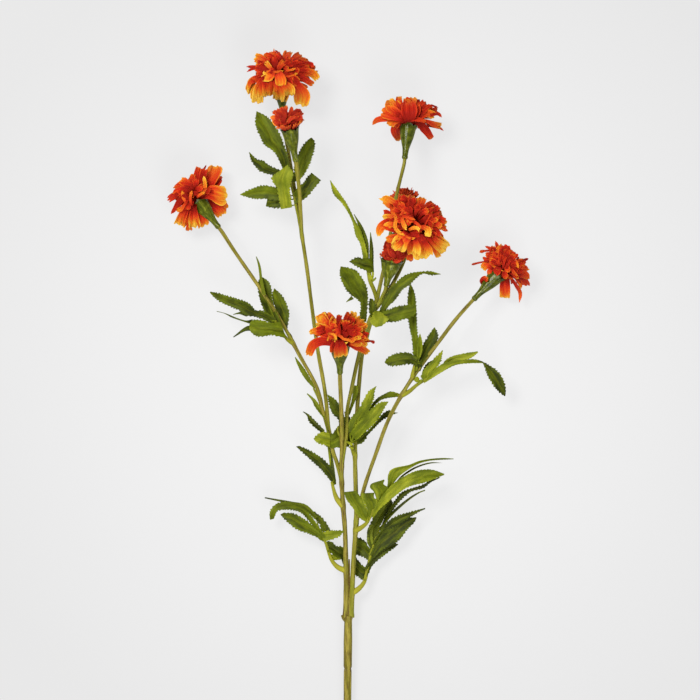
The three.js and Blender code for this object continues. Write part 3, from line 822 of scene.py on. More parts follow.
class Petals:
    """The petals of one head, in the rings of the part's source and finer ones between them."""

    RUFFLE = 1.5
    TWIST = 0.2
    SLENDER = 4
    GRIDS = {BROAD: (16, 15), NOTCHED: (14, 12), POINTED: (12, 9), STRAND: (11, 4)}

    def __init__(self, head: Head, rings: Sequence[PetalRing], fill: Sequence[PetalRing]) -> None:
        """Keeps the head with its two sets of rings."""
        self.head = head
        self.rings = rings
        self.fill = fill
        self.chance = np.random.default_rng(head.seed)

    @staticmethod
    def tip(edge: Edge, side: np.ndarray, phase: np.ndarray) -> np.ndarray:
        """How far the petal reaches at each share of its width.

        Args:
            edge: How the petal ends.
            side: Shares of its half width, from -1 to 1.
            phase: Two angles that vary the rim.

        Returns:
            Shares of the petal's length.
        """
        wide = np.abs(side)
        if edge is BROAD:
            reach = 0.8 + 0.18 * (1 - wide**2.4) ** 0.62
            notch = 0.055 * np.exp(-(((side - 0.25 * math.sin(phase[1])) / 0.15) ** 2))
            return reach - notch + 0.016 * np.sin(6 * side + phase[0]) + 0.006 * np.sin(15 * side + phase[1])
        if edge is NOTCHED:
            reach = 0.82 + 0.16 * (1 - wide**2.6) ** 0.6
            return reach + 0.035 * np.cos(8.5 * side + phase[0]) + 0.016 * np.sin(15 * side + phase[1])
        if edge is POINTED:
            return 1 - 0.34 * wide**1.6 + 0.045 * np.cos(10 * side + phase[0])
        return 1 - 0.08 * wide

    @staticmethod
    def width(edge: Edge, length: np.ndarray) -> np.ndarray:
        """The share of the half width at each share of the length."""
        grown = 0.2 + 0.8 * np.sin(np.pi / 2 * np.minimum(1, length / 0.75))
        if edge is STRAND:
            return 1.1 - 0.75 * length
        if edge is POINTED:
            return grown * (1 - 0.45 * np.maximum(0, length - 0.55) / 0.45)
        return grown

    def petal(self, ring: PetalRing, fall: float, turn: float, roll: Sequence[float], skin: Skin) -> None:
        """Adds one petal.

        Args:
            ring: The ring it belongs to.
            fall: The slope at its end, in degrees.
            turn: Its angle round the head.
            roll: Four numbers from 0 to 1 for its length, slopes and ruffle.
            skin: Where it goes.
        """
        head, fine = self.head, self.chance.random(8)
        slender = ring.half < self.SLENDER and ring.edge is NOTCHED
        rows, columns = self.GRIDS[POINTED if slender else ring.edge]
        side = np.linspace(-1, 1, columns)[None, :]
        share = np.linspace(0, 1, rows)[:, None] * self.tip(ring.edge, side, 6.3 * fine[:2])
        long = ring.long * head.size * head.core * (0.9 + 0.2 * roll[0])
        half = ring.half * head.size * head.core
        rise = math.radians(ring.rise + 10 * (roll[1] - 0.5))
        drop = math.radians(fall + 24 * (roll[2] - 0.5)) - rise
        slope = rise + drop * share
        reach = ring.root + long * (np.sin(slope) - math.sin(rise)) / drop
        height = ring.height - long * (np.cos(slope) - math.cos(rise)) / drop
        out = head.around(np.asarray(turn))
        beside = np.cross(head.ahead, out)
        facing = np.cos(slope)[..., None] * head.ahead - np.sin(slope)[..., None] * out
        across = half * self.width(ring.edge, share) * side
        slim = min(1.0, half / 5)
        wave = self.RUFFLE * share**2 * np.sin(np.pi * 2.2 * side + 6 * roll[3])
        frill = 1.25 * np.sin(6.5 * side + 6.3 * fine[2]) + 0.45 * np.sin(13 * side + 6.3 * fine[3])
        frill = slim * share**3 * frill
        pleat = -0.16 * slim * np.cos(10 * side + 6.3 * fine[4]) * np.sin(np.pi * share)
        curl = (fine[5] - 0.4) * 2.6 * np.maximum(0, share - 0.6) ** 2 / 0.16
        trough = ring.trough * (0.4 + fine[3]) * side**2 * share * half
        lift = wave * slim + frill + pleat + curl + trough + (self.TWIST + ring.cup * side * share) * across
        lift = lift + (fine[6] - 0.5) * 0.7 * across * share
        sway = (fine[0] - 0.5) * 0.22 * long * share**2
        points = head.middle + head.ahead * height[..., None] + out * reach[..., None]
        points = points + beside * (across + sway)[..., None] + facing * lift[..., None]
        rim = np.clip((share - 0.7) / 0.28, 0, 1) ** 1.5
        border = np.clip((np.abs(side) - 0.62) / 0.38, 0, 1) ** 1.5 * np.clip((share - 0.25) / 0.5, 0, 1)
        gold = head.gold + ring.gold + 0.45 * (fine[4] - 0.5) + 0.5 * np.maximum(rim, border)
        # Painted shade: darker towards the root, and over the whole petal by the head's depth.
        shade = np.clip(0.62 - 1.35 * share, 0, 1) * 0.7 + head.depth
        skin.sheet(points, head.floor, threes(share, side, fine[7]), threes(gold, shade, 0.0))

    def grow(self, skin: Skin) -> None:
        """Adds every petal of the head."""
        roll = dice(self.head.seed)
        for k, ring in enumerate(self.rings):
            for i in range(ring.count):
                round_share = (i + 0.37 * k + 0.2 * (next(roll) - 0.5)) / ring.count
                turn = math.radians(self.head.turn) + 2 * math.pi * round_share
                fall = ring.fall if k else ring.fall * self.head.droop
                rolled = [next(roll) for _ in range(4)]
                if ring.edge is BROAD and self.head.around(np.asarray(turn))[2] > self.head.bare:
                    continue
                self.petal(ring, fall, turn, rolled, skin)
        for k, ring in enumerate(self.fill):
            for i in range(ring.count):
                turn = 2 * math.pi * (i + 0.61 * k + 0.5 * self.chance.random()) / ring.count
                self.petal(ring, ring.fall, turn, self.chance.random(4), skin)


@dataclass(frozen=True)
class Lobe:
    """One petal, laid as listed.

    Its line runs from root to tip as (x, y, width), seen from above: in pixels in LOBES, and in millimetres
    once it is placed. The pairs are for its root and its tip: the height over the head's dome, and how
    golden it is.
    """

    line: Sequence[Triple]
    lift: Pair
    gold: Pair
    edge: Edge = NOTCHED


class LaidPetals:
    """The petals of one head that are listed and laid over its dome, each of them rooted at the head's seat.

    A petal that is narrow for its length has a plainer rim. One up to SMALL in half width has a coarser
    mesh.
    """

    DEEPEST = -0.35
    SPREAD = 0.7
    CLEAR = 2.0
    RAGGED = 4.5
    SMALL = 2.6
    NARROW = 3.0

    def __init__(self, head: Head, lobes: Sequence[Lobe], golden: float = 0.0) -> None:
        """Keeps the head with its petals, and how much more golden they are than LOBES says."""
        self.head = head
        self.lobes = lobes
        self.golden = golden
        self.chance = np.random.default_rng(head.seed + 9)

    def placed(self, lobe: Lobe) -> Lobe:
        """Takes a petal of LOBES to the layout, its widths to a tenth or, over NARROW, to a SNAP."""
        line = traced(lobe.line)
        wide = line[:, 2] * PIXEL
        line[:, 2] = np.where(wide > self.NARROW, np.round(wide / SNAP) * SNAP, np.round(wide, 1))
        return replace(lobe, line=line, gold=(lobe.gold[0] + self.golden, lobe.gold[1] + self.golden))

    def way(self, lobe: Lobe) -> tuple[Way, np.ndarray, np.ndarray]:
        """Finds a petal's line.

        Args:
            lobe: The petal.

        Returns:
            The line from the seat to the tip, with shares along it and the petal's width at them.
        """
        head, line = self.head, np.array(lobe.line)
        off = (line[:, :2] - head.dome[:2]) / head.dome[2:4]
        dome = head.dome[4] * np.clip(1 - (off**2).sum(axis=1), self.DEEPEST, 1)
        lift = np.linspace(*lobe.lift, len(line))
        places = np.column_stack([line[:, :2], np.maximum(head.middle[2] + dome + lift, head.floor + 0.8)])
        way = Way([head.middle + head.ahead * 1.5, *places])
        shares = [way.nearest(place) / way.length for place in places]
        return way, np.array([0.0, *shares]), np.array([min(0.4 * line[0, 2], 1.6), *line[:, 2]])

    def lay(self, lobe: Lobe, skin: Skin) -> None:
        """Adds one petal, with its line in layout millimetres."""
        fine = self.chance.random(8)
        way, shares, widths = self.way(lobe)
        first = shares[1]
        strand = lobe.edge is STRAND
        half = max(widths) / 2
        rows, columns = (22, 6) if strand else (22, 14) if half > self.SMALL else (14, 9)
        side = np.linspace(-1, 1, columns)[None, :]
        ragged = 1.0 if strand else min(1.0, self.RAGGED * half / way.length)
        rim = 1 - ragged * (1 - Petals.tip(lobe.edge, side, 6.3 * fine[:2]))
        share = np.linspace(0, 1, rows)[:, None] * rim
        dense = np.linspace(0, 1, 60)
        ahead = way.heading(np.maximum(dense, first))
        flat = unit(ahead[:, :2] + 1e-6)
        padded = np.pad(flat, ((4, 4), (0, 0)), "edge")
        flat = unit(np.stack([np.convolve(column, np.ones(9) / 9, "valid") for column in padded.T], -1))
        level = [np.interp(share, dense, column) for column in flat.T]
        beside = np.stack([-level[1], level[0], 0 * share], axis=-1)
        run = way.heading(np.clip(share, 0.02, 0.98))
        facing = unit(np.cross(run, beside))
        facing = facing * np.where(facing[..., 2:] < 0, -1, 1)
        half = np.interp(share, shares, widths) / 2
        slim = np.minimum(1, half / 4.5)
        grown = np.clip((share - first) / (1 - first), 0, 1)
        frill = 0.8 * np.sin(6.5 * side + 6.3 * fine[2]) + 0.4 * np.sin(13 * side + 6.3 * fine[3])
        frill = slim * grown**2 * frill
        pleat = -0.22 * slim * np.cos(10 * side + 6.3 * fine[4]) * np.sin(np.pi * share)
        cup = (0.22 + 0.3 * fine[5]) * half * side**2 * (0.3 + 0.7 * grown) * (0.6 if strand else 1)
        lean = (fine[6] - 0.5) * 0.5 * half * side
        curl = -(0.5 + 1.6 * fine[7]) * slim * np.clip((grown - 0.75) / 0.25, 0, 1) ** 2
        points = way.at(share) + beside * (half * side)[..., None]
        points = points + facing * (frill + pleat + cup + lean + curl)[..., None]
        rim = np.clip((grown - 0.78) / 0.2, 0, 1) ** 1.5
        border = np.clip((np.abs(side) - 0.72) / 0.28, 0, 1) ** 1.5 * np.clip(grown * 2.5, 0, 1)
        edge = 0.0 if strand else 0.3 + 0.3 * min(1, half.max() / 5)
        gold = lobe.gold[0] + (lobe.gold[1] - lobe.gold[0]) * grown**0.75 + edge * np.maximum(rim, border)
        gold = gold + 0.5 * (fine[1] - 0.5)
        # Painted shade near the petal's root.
        shade = np.clip((first + 0.22 * (1 - first) - share) / 0.25, 0, 1) * 0.85
        skin.sheet(points, self.head.floor, threes(share, side, fine[7]), threes(gold, shade, 0.0))

    def ruffles(self) -> list[Lobe]:
        """Small frilled petals scattered over the dome, turned away from the heart."""
        head, chance, made = self.head, self.chance, []
        count, x, y, lift, golden, limit = head.ruffles
        ahead = unit(head.ahead[:2])
        while len(made) < count:
            turn, out = 2 * math.pi * chance.random(), self.SPREAD * math.sqrt(chance.random())
            root = np.array([x, y]) + head.dome[2:4] * out * np.array([math.cos(turn), math.sin(turn)])
            turn += 1.5 * (chance.random() - 0.5)
            long, wide = 4.5 + 3.5 * chance.random(), 3.4 + 3.4 * chance.random()
            step = long * np.array([math.cos(turn), math.sin(turn)])
            aside = np.array([-math.sin(turn), math.cos(turn)])
            bend = root + 0.5 * step + 1.6 * (chance.random() - 0.5) * aside
            tip, up = root + step, chance.random(2)
            deep, bright = -0.8 - 0.4 * chance.random(), golden * chance.random() ** 1.3 - 0.45
            over = np.linalg.norm((tip - head.dome[:2]) / head.dome[2:4]) > limit
            if over or (root - head.middle[:2]) @ ahead < self.CLEAR:
                continue
            line = ((*root, 0.6 * wide), (*bend, wide), (*tip, 0.9 * wide))
            made.append(Lobe(line, (lift + 2 * up[0], lift + 2 * up[1] + 1), (deep, bright)))
        return made

    def grow(self, skin: Skin) -> None:
        """Adds every petal."""
        for lobe in [*map(self.placed, self.lobes), *self.ruffles()]:
            self.lay(lobe, skin)


@dataclass
class Bloom:
    """An open marigold: its petals over a heart of small florets."""

    head: Head
    rings: Sequence[PetalRing] = BLOOM_RINGS
    fill: Sequence[PetalRing] = FILL_RINGS
    slot: Slot = Slot.PETAL
    label: str = "bloom"
    florets: int = 46
    heart: float = 6.0

    LEAN = math.radians(62)

    def build(self, silk: Material, floret: Material) -> None:
        """Makes the petals and the heart.

        Args:
            silk: The petals' material.
            floret: The heart's material.
        """
        skin, heart, name = Skin(), Skin(), self.head.name
        node = f"{self.label}_{name}"
        Petals(self.head, self.rings, self.fill).grow(skin)
        LaidPetals(self.head, LOBES[node], LOBE_GOLD.get(node, 0.0)).grow(skin)
        skin.piece(f"{self.label}_petals_{name}", self.slot, silk, node)
        self._cushion(heart)
        self._florets(heart)
        heart.piece(f"{self.label}_heart_{name}", self.slot, floret)

    def _cushion(self, skin: Skin) -> None:
        """Adds the dome that the petals stand on."""
        head, sides, rows = self.head, 24, 9
        angle = 2 * np.pi * np.arange(sides) / sides
        slope = np.linspace(0, math.pi / 2 * 0.96, rows)
        radius, height = self.heart * np.cos(slope), self.heart * 0.75 * np.sin(slope)
        out = head.around(angle)
        points = head.middle + head.ahead * height[:, None, None] + out[None] * radius[:, None, None]
        points = np.concatenate([(head.middle - head.ahead * 3 + out * self.heart * 0.7)[None], points])
        place = threes(np.linspace(0, 0.4, rows + 1)[:, None], angle[None], 0.0)
        # The cushion's tint: gold, and a little painted shade.
        skin.add(points.reshape(-1, 3), wrapped_faces(rows + 1, sides), place, np.array([0.3, 0.2, 0]))

    def _florets(self, skin: Skin) -> None:
        """Adds the small tubes of the heart, each with a flared mouth."""
        head, chance = self.head, np.random.default_rng(self.head.seed + 5)
        for i in range(self.florets):
            turn = GOLDEN_TURN * i + 0.4 * chance.random()
            lean = self.LEAN * math.sqrt((i + 0.5) / self.florets)
            out = head.around(np.asarray(turn))
            tall = head.size * self.heart * (0.85 + 0.55 * chance.random())
            start = head.middle + head.ahead * self.heart * 0.7 * math.cos(lean)
            start = start + out * self.heart * math.sin(lean) * 0.8
            tilt = unit(head.ahead * math.cos(lean) + out * math.sin(lean) + 0.35 * (chance.random(3) - 0.5))
            side = unit(np.cross(tilt, out + 0.01))
            end = start + tilt * tall + side * (chance.random() - 0.5) * 2
            way = Way([start, start + tilt * tall * 0.5, end])
            points, faces, place = tube(
                way, np.linspace(0, 1, 6), lambda s, a: 0.28 + 0.5 * (s / way.length) ** 3 + 0 * a, 6
            )
            place = threes(place[:, 1] / way.length, place[:, 0], chance.random())
            tint = np.array([0.25 + 0.5 * chance.random(), 0.0, 0.0])
            skin.add(settled(points, head.floor), faces, place, tint)


@dataclass
class Bud(Bloom):
    """A bud that is breaking: a tuft of short petals."""

    rings: Sequence[PetalRing] = BUD_RINGS
    fill: Sequence[PetalRing] = BUD_FILL
    slot: Slot = Slot.BUD_PETAL
    label: str = "bud"
    florets: int = 14
    heart: float = 4.4


@dataclass
class Calyx:
    """The green cup under a head, ribbed and toothed at its mouth."""

    head: Head
    label: str = "calyx"
    profile: Sequence[tuple[float, float]] = (
        (-0.02, 1.4), (0.0, 2.1), (0.04, 2.45), (0.1, 2.2), (0.28, 2.5), (0.44, 3.6), (0.62, 4.9),
        (0.76, 5.5), (0.86, 5.8), (0.95, 6.4), (1.0, 7.0),
    )
    rib: float = 0.05
    tooth: float = 0.07
    wall: float = 0.5
    sides: int = 70

    def build(self, material: Material) -> None:
        """Makes the calyx: its outside from the foot to the teeth, then its inside."""
        head, long = self.head, self.head.calyx
        shares = np.concatenate([np.linspace(-0.02, 0.1, 7), np.linspace(0.14, 1, 25)])
        knots, sizes = np.array(self.profile).T
        radius = np.interp(shares, knots, sizes)
        radius[8:-1] = np.convolve(radius, np.ones(3) / 3, "same")[8:-1]
        radius = radius * (1 + (head.girth - 1) * np.clip(shares / 0.5, 0, 1))
        angle = 2 * np.pi * np.arange(self.sides) / self.sides
        lobes = 0.5 + 0.5 * np.cos(5 * (angle - math.pi / 10))
        fine = 0.5 + 0.5 * np.cos(15 * (angle - math.pi / 10))
        ribs = self.rib * (2 * lobes - 1) + 0.022 * (2 * fine - 1)
        swell = 1 + np.clip(shares, 0, 1)[:, None] * ribs[None]
        notch = self.tooth * long * (1 - lobes**0.7) + 0.03 * long * (1 - fine)
        drop = np.clip((shares - 0.8) / 0.2, 0, 1)[:, None] ** 2 * notch[None]
        out = head.around(angle)
        height = long * (shares[:, None] - 1) - drop
        wide = radius[:, None] * swell
        outside = head.middle + head.ahead * height[..., None] + out[None] * wide[..., None]
        depth = np.array([0.0, 1.5, 4.0])[:, None]
        reach = radius[-1] * swell[-1][None] - self.wall - 0.35 * depth
        sunk = -drop[-1][None] * (1 - depth / 4) - depth
        inside = head.middle + head.ahead * sunk[..., None] + out[None] * reach[..., None]
        rows = np.concatenate([outside, inside])
        along = np.concatenate([shares * long, np.full(3, long)])
        place = threes(angle[None], along[:, None], float(head.seed))
        # Painted shade: deeper towards the mouth in the grooves between the lobes, and over the inside.
        groove_shade = np.clip(shares, 0, 1)[:, None] * (1 - lobes)[None]
        groove_shade = np.concatenate([groove_shade, np.zeros((3, self.sides))])
        within = np.concatenate([np.zeros(len(shares)), np.ones(3)])[:, None]
        faces, skin = wrapped_faces(len(rows), self.sides), Skin()
        skin.add(rows.reshape(-1, 3), faces, place, threes(head.light, groove_shade, within))
        skin.piece(f"{self.label}_cup_{head.name}", Slot.CALYX, material, f"{self.label}_{head.name}")


# Stems


@dataclass
class CutStem:
    """The main stem, from its cut end to the collar where it forks."""

    start: Triple = (-2.8, -80.0, 2.8)
    end: Triple = (-1.4, 67.6, 10.0)
    profile: Sequence[tuple[float, float]] = (
        (0, 2.7), (0.6, 3.0), (60, 3.05), (103, 3.1), (104.6, 3.0), (105.5, 2.7), (106.4, 3.0),
        (107.4, 3.35), (128, 3.4), (143.8, 3.15), (145.2, 3.3), (145.9, 3.7), (147.2, 3.7), (147.9, 3.2),
    )
    sides: int = 40

    def build(self, material: Material) -> None:
        """Makes the stem with its groove, ridges and collar."""
        way = Way([self.start, self.end])
        knots, sizes = np.array(self.profile, float).T
        shares = np.unique(np.concatenate([np.linspace(0, 1, 150), knots / way.length]))
        shares = shares[shares <= 1]

        def radius(along: np.ndarray, angle: np.ndarray) -> np.ndarray:
            """The radius, with shallow ridges that wind slowly round."""
            plain = np.interp(along, knots, sizes)
            ridge = 0.022 * np.cos(7 * angle + 0.012 * along) + 0.012 * np.cos(3 * angle - 0.05 * along)
            return plain * (1 + ridge + 0.01 * np.sin(0.21 * along))

        points, faces, place = tube(way, shares, radius, self.sides)
        points[:, 2] = np.maximum(points[:, 2], 0.05)
        place[:, 2] = 3
        along = place[:, 1]
        brown = 0.5 * np.exp(-(((along - 105.5) / 2.2) ** 2)) + 0.35 * np.exp(-(((along - 146.2) / 2) ** 2))
        skin = Skin()
        skin.add(points, faces, place, threes(brown, 0.1, (along < 0.3) * 1.0))
        self._nub(skin)
        skin.piece("stem_cut", Slot.STEM, material, "main_stem")

    def _nub(self, skin: Skin) -> None:
        """Adds the small scar of a leaf at the collar's left."""
        way = Way([(-3.0, 63, 9.8), (-5.4, 65.5, 10.4), (-6.6, 68.2, 11)])
        points, faces, place = tube(way, np.linspace(0, 1, 8), lambda s, a: 1.3 - 0.09 * s + 0 * a, 12)
        skin.add(points, faces, place + [0, 0, 5], np.array([0.25, 0.3, 0]))


@dataclass
class Branch:
    """One length of branching stem, up to a bloom, with the twig of a bud where it has one."""

    name: str
    radius: tuple[float, float]
    at: Sequence[Triple]
    head: Head
    off: str = ""
    twig: tuple[Head, Sequence[Triple]] | None = None
    green: float = 0.15
    brown: float = 0.5
    web: Sequence[Triple] = ()
    joints: list[Triple] = field(default_factory=list)

    STRAIGHT_END = 3.0
    TWIG_RADIUS = (1.4, 1.75)

    @classmethod
    def way_to(cls, at: Sequence[Triple], head: Head) -> Way:
        """The line through the branch's places to the foot of a calyx, and a little into it."""
        foot = head.middle - head.ahead * (head.calyx + 0.6)
        return Way([*at, foot - head.ahead * cls.STRAIGHT_END, foot, foot + head.ahead * 1.6])

    def build(self, material: Material) -> None:
        """Makes the branch, swollen and browned at its joints."""
        skin = Skin()
        start = np.array(self.at[0]) if self.off else np.array(self.at[0]) - (0, 1.6, 0.2)
        self._stem(skin, self.way_to([tuple(start), *self.at[1:]], self.head), self.radius, self.joints, 1.0)
        if self.twig:
            bud, at = self.twig
            self._stem(skin, self.way_to(at, bud), self.TWIG_RADIUS, [], 2.0)
        if self.web:
            self._web(skin)
        skin.piece(f"stem_{self.name}", Slot.STEM, material, f"branch_{self.name}")

    def _web(self, skin: Skin) -> None:
        """Adds the flat growth that joins this stem to its twin, and the dark seam over it."""
        way = Way(self.web)

        def radius(along: np.ndarray, angle: np.ndarray) -> np.ndarray:
            """The radius of a flattened round that narrows upwards."""
            wide = np.interp(along, (0, 5, 12, 16, way.length), (4.4, 4.2, 2.8, 1.2, 0.6))
            tall = np.interp(along, (0, 5, 12, 16, way.length), (2.2, 2.1, 1.7, 1.1, 0.6))
            return wide * tall / np.sqrt((tall * np.cos(angle)) ** 2 + (wide * np.sin(angle)) ** 2)

        points, faces, place = tube(way, np.linspace(0, 1, 40), radius, 22)
        brown = 0.25 + 0.75 * np.clip((place[:, 1] - 11) / 6, 0, 1)
        place[:, 2] = 3
        skin.add(points, faces, place, threes(brown, 0.1, 0.0))

    def _stem(self, skin: Skin, way: Way, ends: Pair, joints: Sequence[Triple], key: float) -> None:
        """Adds one stem.

        Args:
            skin: Where it goes.
            way: Its line.
            ends: Its radius at the start and at the end.
            joints: Places where something springs off it.
            key: Tells it from the branch's other stem.
        """
        marks = np.array([way.nearest(joint) for joint in joints] + [0.0])
        tilt = self.head.seed * 0.37

        def swelling(along: np.ndarray, reach: float) -> np.ndarray:
            """How near each distance along is to a joint, from 0 to 1."""
            return np.exp(-(((along[..., None] - marks) / reach) ** 2)).max(axis=-1)

        def radius(along: np.ndarray, angle: np.ndarray) -> np.ndarray:
            """The radius, with low ridges, slow bumps and a swelling at each joint."""
            plain = ends[0] + (ends[1] - ends[0]) * along / way.length
            ridge = 0.035 * np.cos(5 * angle + 0.02 * along + tilt) + 0.02 * np.cos(2 * angle - 0.07 * along)
            bump = 0.03 * np.sin(0.17 * along + tilt) + 0.02 * np.sin(0.43 * along + 2 * tilt)
            return plain * (1 + ridge + bump + 0.22 * swelling(along, 3.2))

        steps = max(12, int(way.length / 2.2))
        points, faces, place = tube(way, np.linspace(0, 1, steps), radius, 18)
        place[:, 2] = self.head.seed + key
        brown = self.brown * swelling(place[:, 1], 7.0) - 1.4 * self.green
        green = np.clip(self.green + 0.35 * swelling(place[:, 1] - 5, 6.0), 0, 1)
        skin.add(points, faces, place, threes(brown, green, 0.0))


# Leaves


@dataclass(frozen=True)
class Blade:
    """One leaf blade.

    Its two edges run from root to tip on the photo. The root is the share of the stalk at which the blade
    leaves it, or the height at which one that isn't joined begins. The heights after it and the lightness
    stand at even shares of its length. The lightness is partly the leaf's own tone and partly painted light
    and shade.
    """

    root: float
    one: Sequence[Pair]
    other: Sequence[Pair]
    high: Sequence[float]
    light: Sequence[float]
    back: float = 0.1
    teeth: float = 1.0
    tilt: float = 0.0
    rib: float = 1.0
    joined: bool = True


@dataclass
class Sprig:
    """A leaf's stalk with its blades.

    The stalk's places are on the photo, each with its height in millimetres. The sleeve is how far it clasps
    the stem, the knob how much thicker its end is, and the light is added to that of every blade.
    """

    name: str
    off: str
    stalk: Sequence[Triple]
    sleeve: float
    blades: Sequence[Blade]
    knob: float = 0.0
    stout: float = 1.0
    light: float = 0.0

    FOLD = 0.26
    TOOTH = 2.5
    DEPTH = 1.3

    @property
    def foot(self) -> np.ndarray:
        """Where the stalk leaves its stem, in the layout."""
        return traced(self.stalk[:1])[0]

    def build(self, material: Material) -> None:
        """Makes the stalk and every blade."""
        skin, way = Skin(), Way(traced(self.stalk))
        seed = sum(ord(letter) * (k + 1) for k, letter in enumerate(self.name))
        chance = np.random.default_rng(seed)
        self._stalk(skin, way)
        for blade in self.blades:
            self._blade(skin, way, blade, chance)
        skin.piece(f"foliage_{self.name}", Slot.LEAF, material, f"leaf_{self.name}")

    def _stalk(self, skin: Skin, way: Way) -> None:
        """Adds the grooved stalk, wider where it clasps the stem."""

        def radius(along: np.ndarray, angle: np.ndarray) -> np.ndarray:
            """The radius, with a groove along one side."""
            plain = self.stout * (1.15 - 0.4 * along / way.length) + self.knob * (along / way.length) ** 2
            clasp = (0.35 + 0.5 * self.sleeve) * np.exp(-((along / (2.4 + 8 * self.sleeve)) ** 2))
            return plain * (1 - 0.16 * np.exp(-((angle - 1.6) ** 2) / 0.35)) + clasp

        points, faces, place = tube(way, np.linspace(0, 1, 18), radius, 14)
        turn, along, _ = place.T
        yellow = 2.6 + 4 * self.sleeve * np.exp(-((along / 16) ** 2)) + 0.6 * self.knob * along / way.length
        skin.add(points, faces, threes(along, turn, 0.7), threes(0.6, yellow, 0.0))

    def _join(self, skin: Skin, way: Way, root: np.ndarray) -> None:
        """Adds the short thin foot between the stalk and the root of a blade that starts away from it."""
        start = way.at(way.nearest(root) / way.length)
        if np.linalg.norm(root - start) < 0.8:
            return
        line = Way([start, (start + root) / 2 + (0, 0, 0.2), root])
        points, faces, place = tube(line, np.linspace(0, 1, 6), lambda s, a: 0.55 - 0.02 * s + 0 * a, 8)
        turn, along, _ = place.T
        skin.add(settled(points, 0.0), faces, threes(along, turn, 0.4), np.array([0.45, 0.3, 0]))

    def _blade(self, skin: Skin, way: Way, blade: Blade, chance: np.random.Generator) -> None:
        """Adds one blade.

        Args:
            skin: Where it goes.
            way: The stalk's line.
            blade: Its edges, heights and lightness.
            chance: Small differences between blades.
        """
        one, other = (traced(shaping(edge)) for edge in (blade.one, blade.other))
        x, y = np.vstack([one, other[::-1]]).T
        area = np.sum(x * np.roll(y, -1) - y * np.roll(x, -1))
        edges = [Way([(*place, 0) for place in edge]) for edge in (one, other)]
        tilt = blade.tilt
        if area < 0:
            edges.reverse()
            tilt = -tilt
        long = (edges[0].length + edges[1].length) / 2
        teeth = int(np.clip(round(long / self.TOOTH), 3, 34))
        rows = teeth * 4 + 1
        share = np.linspace(0, 1, rows)[:, None]
        near, far = edges[0].at(share[:, 0]), edges[1].at(share[:, 0])
        rib, across = (near + far) / 2, (far - near) / 2
        half = np.linalg.norm(across, axis=1, keepdims=True)
        ahead = unit(np.gradient(rib, axis=0) + 1e-9)
        beside = across / np.maximum(half, 1e-6)
        root = self._height(blade.root) if blade.joined else blade.root
        rib[:, 2] = self._spread(share[:, 0], (root, *blade.high))
        side = np.linspace(-1, 1, 9 if half.max() < 2 else 13)[None, :]
        wide = np.abs(side)
        fade = np.clip((half - 0.4) / 1.2, 0, 1)
        uneven = chance.random(4)
        right = side > 0
        drift = 0.16 * np.sin(1.7 * share * teeth + 6 * uneven[0] + 2 * right) + 0.3 * uneven[1] * right
        phase = (share * teeth + drift) % 1.0
        saw = (phase - 0.5) * np.clip(6 * share, 0, 1) * np.clip(9 * (1 - share), 0, 1)
        varied = 0.95 + 0.25 * np.sin(1.37 * share * teeth + 6 * uneven[2] + 3 * right)
        depth = blade.teeth * self.DEPTH * (0.85 + 0.3 * uneven[3]) * fade * varied
        reach = side * half + np.sign(side) * depth * saw * wide**3
        forward = 0.8 * wide**2 * depth * np.sin(np.pi * share)
        vein = np.cos(2 * np.pi * (share * teeth - 0.55 * wide))
        flutter = wide**2 * np.sin(5.5 * share * math.pi + 6 * chance.random() + right * 1.3)
        lift = self.FOLD * np.abs(reach) * (1.25 - 0.4 * wide)
        lift = lift + tilt * side * np.sin(np.pi * np.clip(share + 0.08, 0, 1))
        lift = lift + fade * (0.1 * vein * wide * (1 - 0.3 * wide) - 0.2 * np.exp(-((reach / 0.45) ** 2)))
        lift = lift + 0.28 * np.minimum(1, half / 4) * flutter
        points = rib[:, None] + ahead[:, None] * forward[..., None] + beside[:, None] * reach[..., None]
        points[..., 2] += lift
        if blade.joined:
            self._join(skin, way, rib[min(2, rows - 1)])
        key = chance.random()
        veined = 0.16 * np.clip(vein, 0, 1) ** 3 * (wide < 0.85) * fade
        ribbed = np.exp(-((reach / 0.34) ** 2)) * fade + veined
        # Partly the leaf's own tone, partly painted light and shade.
        light = self._linear(share, blade.light) + self.light + 0.06 * (chance.random() - 0.5)
        tint = threes(light, ribbed * blade.rib, blade.back)
        skin.sheet(points, 0.0, threes(share * long, reach, key), tint)

    def _height(self, share: float) -> float:
        """The stalk's height at a share of its length, to a tenth of a millimetre."""
        x, y, high = np.transpose(self.stalk)
        runs = np.append(0, np.cumsum(np.hypot(np.diff(x), np.diff(y))))
        return round(float(np.interp(share * runs[-1], runs, high)), 1)

    @staticmethod
    def _spread(share: np.ndarray, values: Sequence[float]) -> np.ndarray:
        """A smooth curve through values that stand at even shares of the length."""
        knots = np.linspace(0, 1, len(values))
        return np.polyval(np.polyfit(knots, values, len(values) - 1), share)

    @staticmethod
    def _linear(share: np.ndarray, values: Sequence[float]) -> np.ndarray:
        """Straight runs between values that stand at even shares of the length."""
        return np.interp(share, np.linspace(0, 1, len(values)), values)


# The spray's own sizes

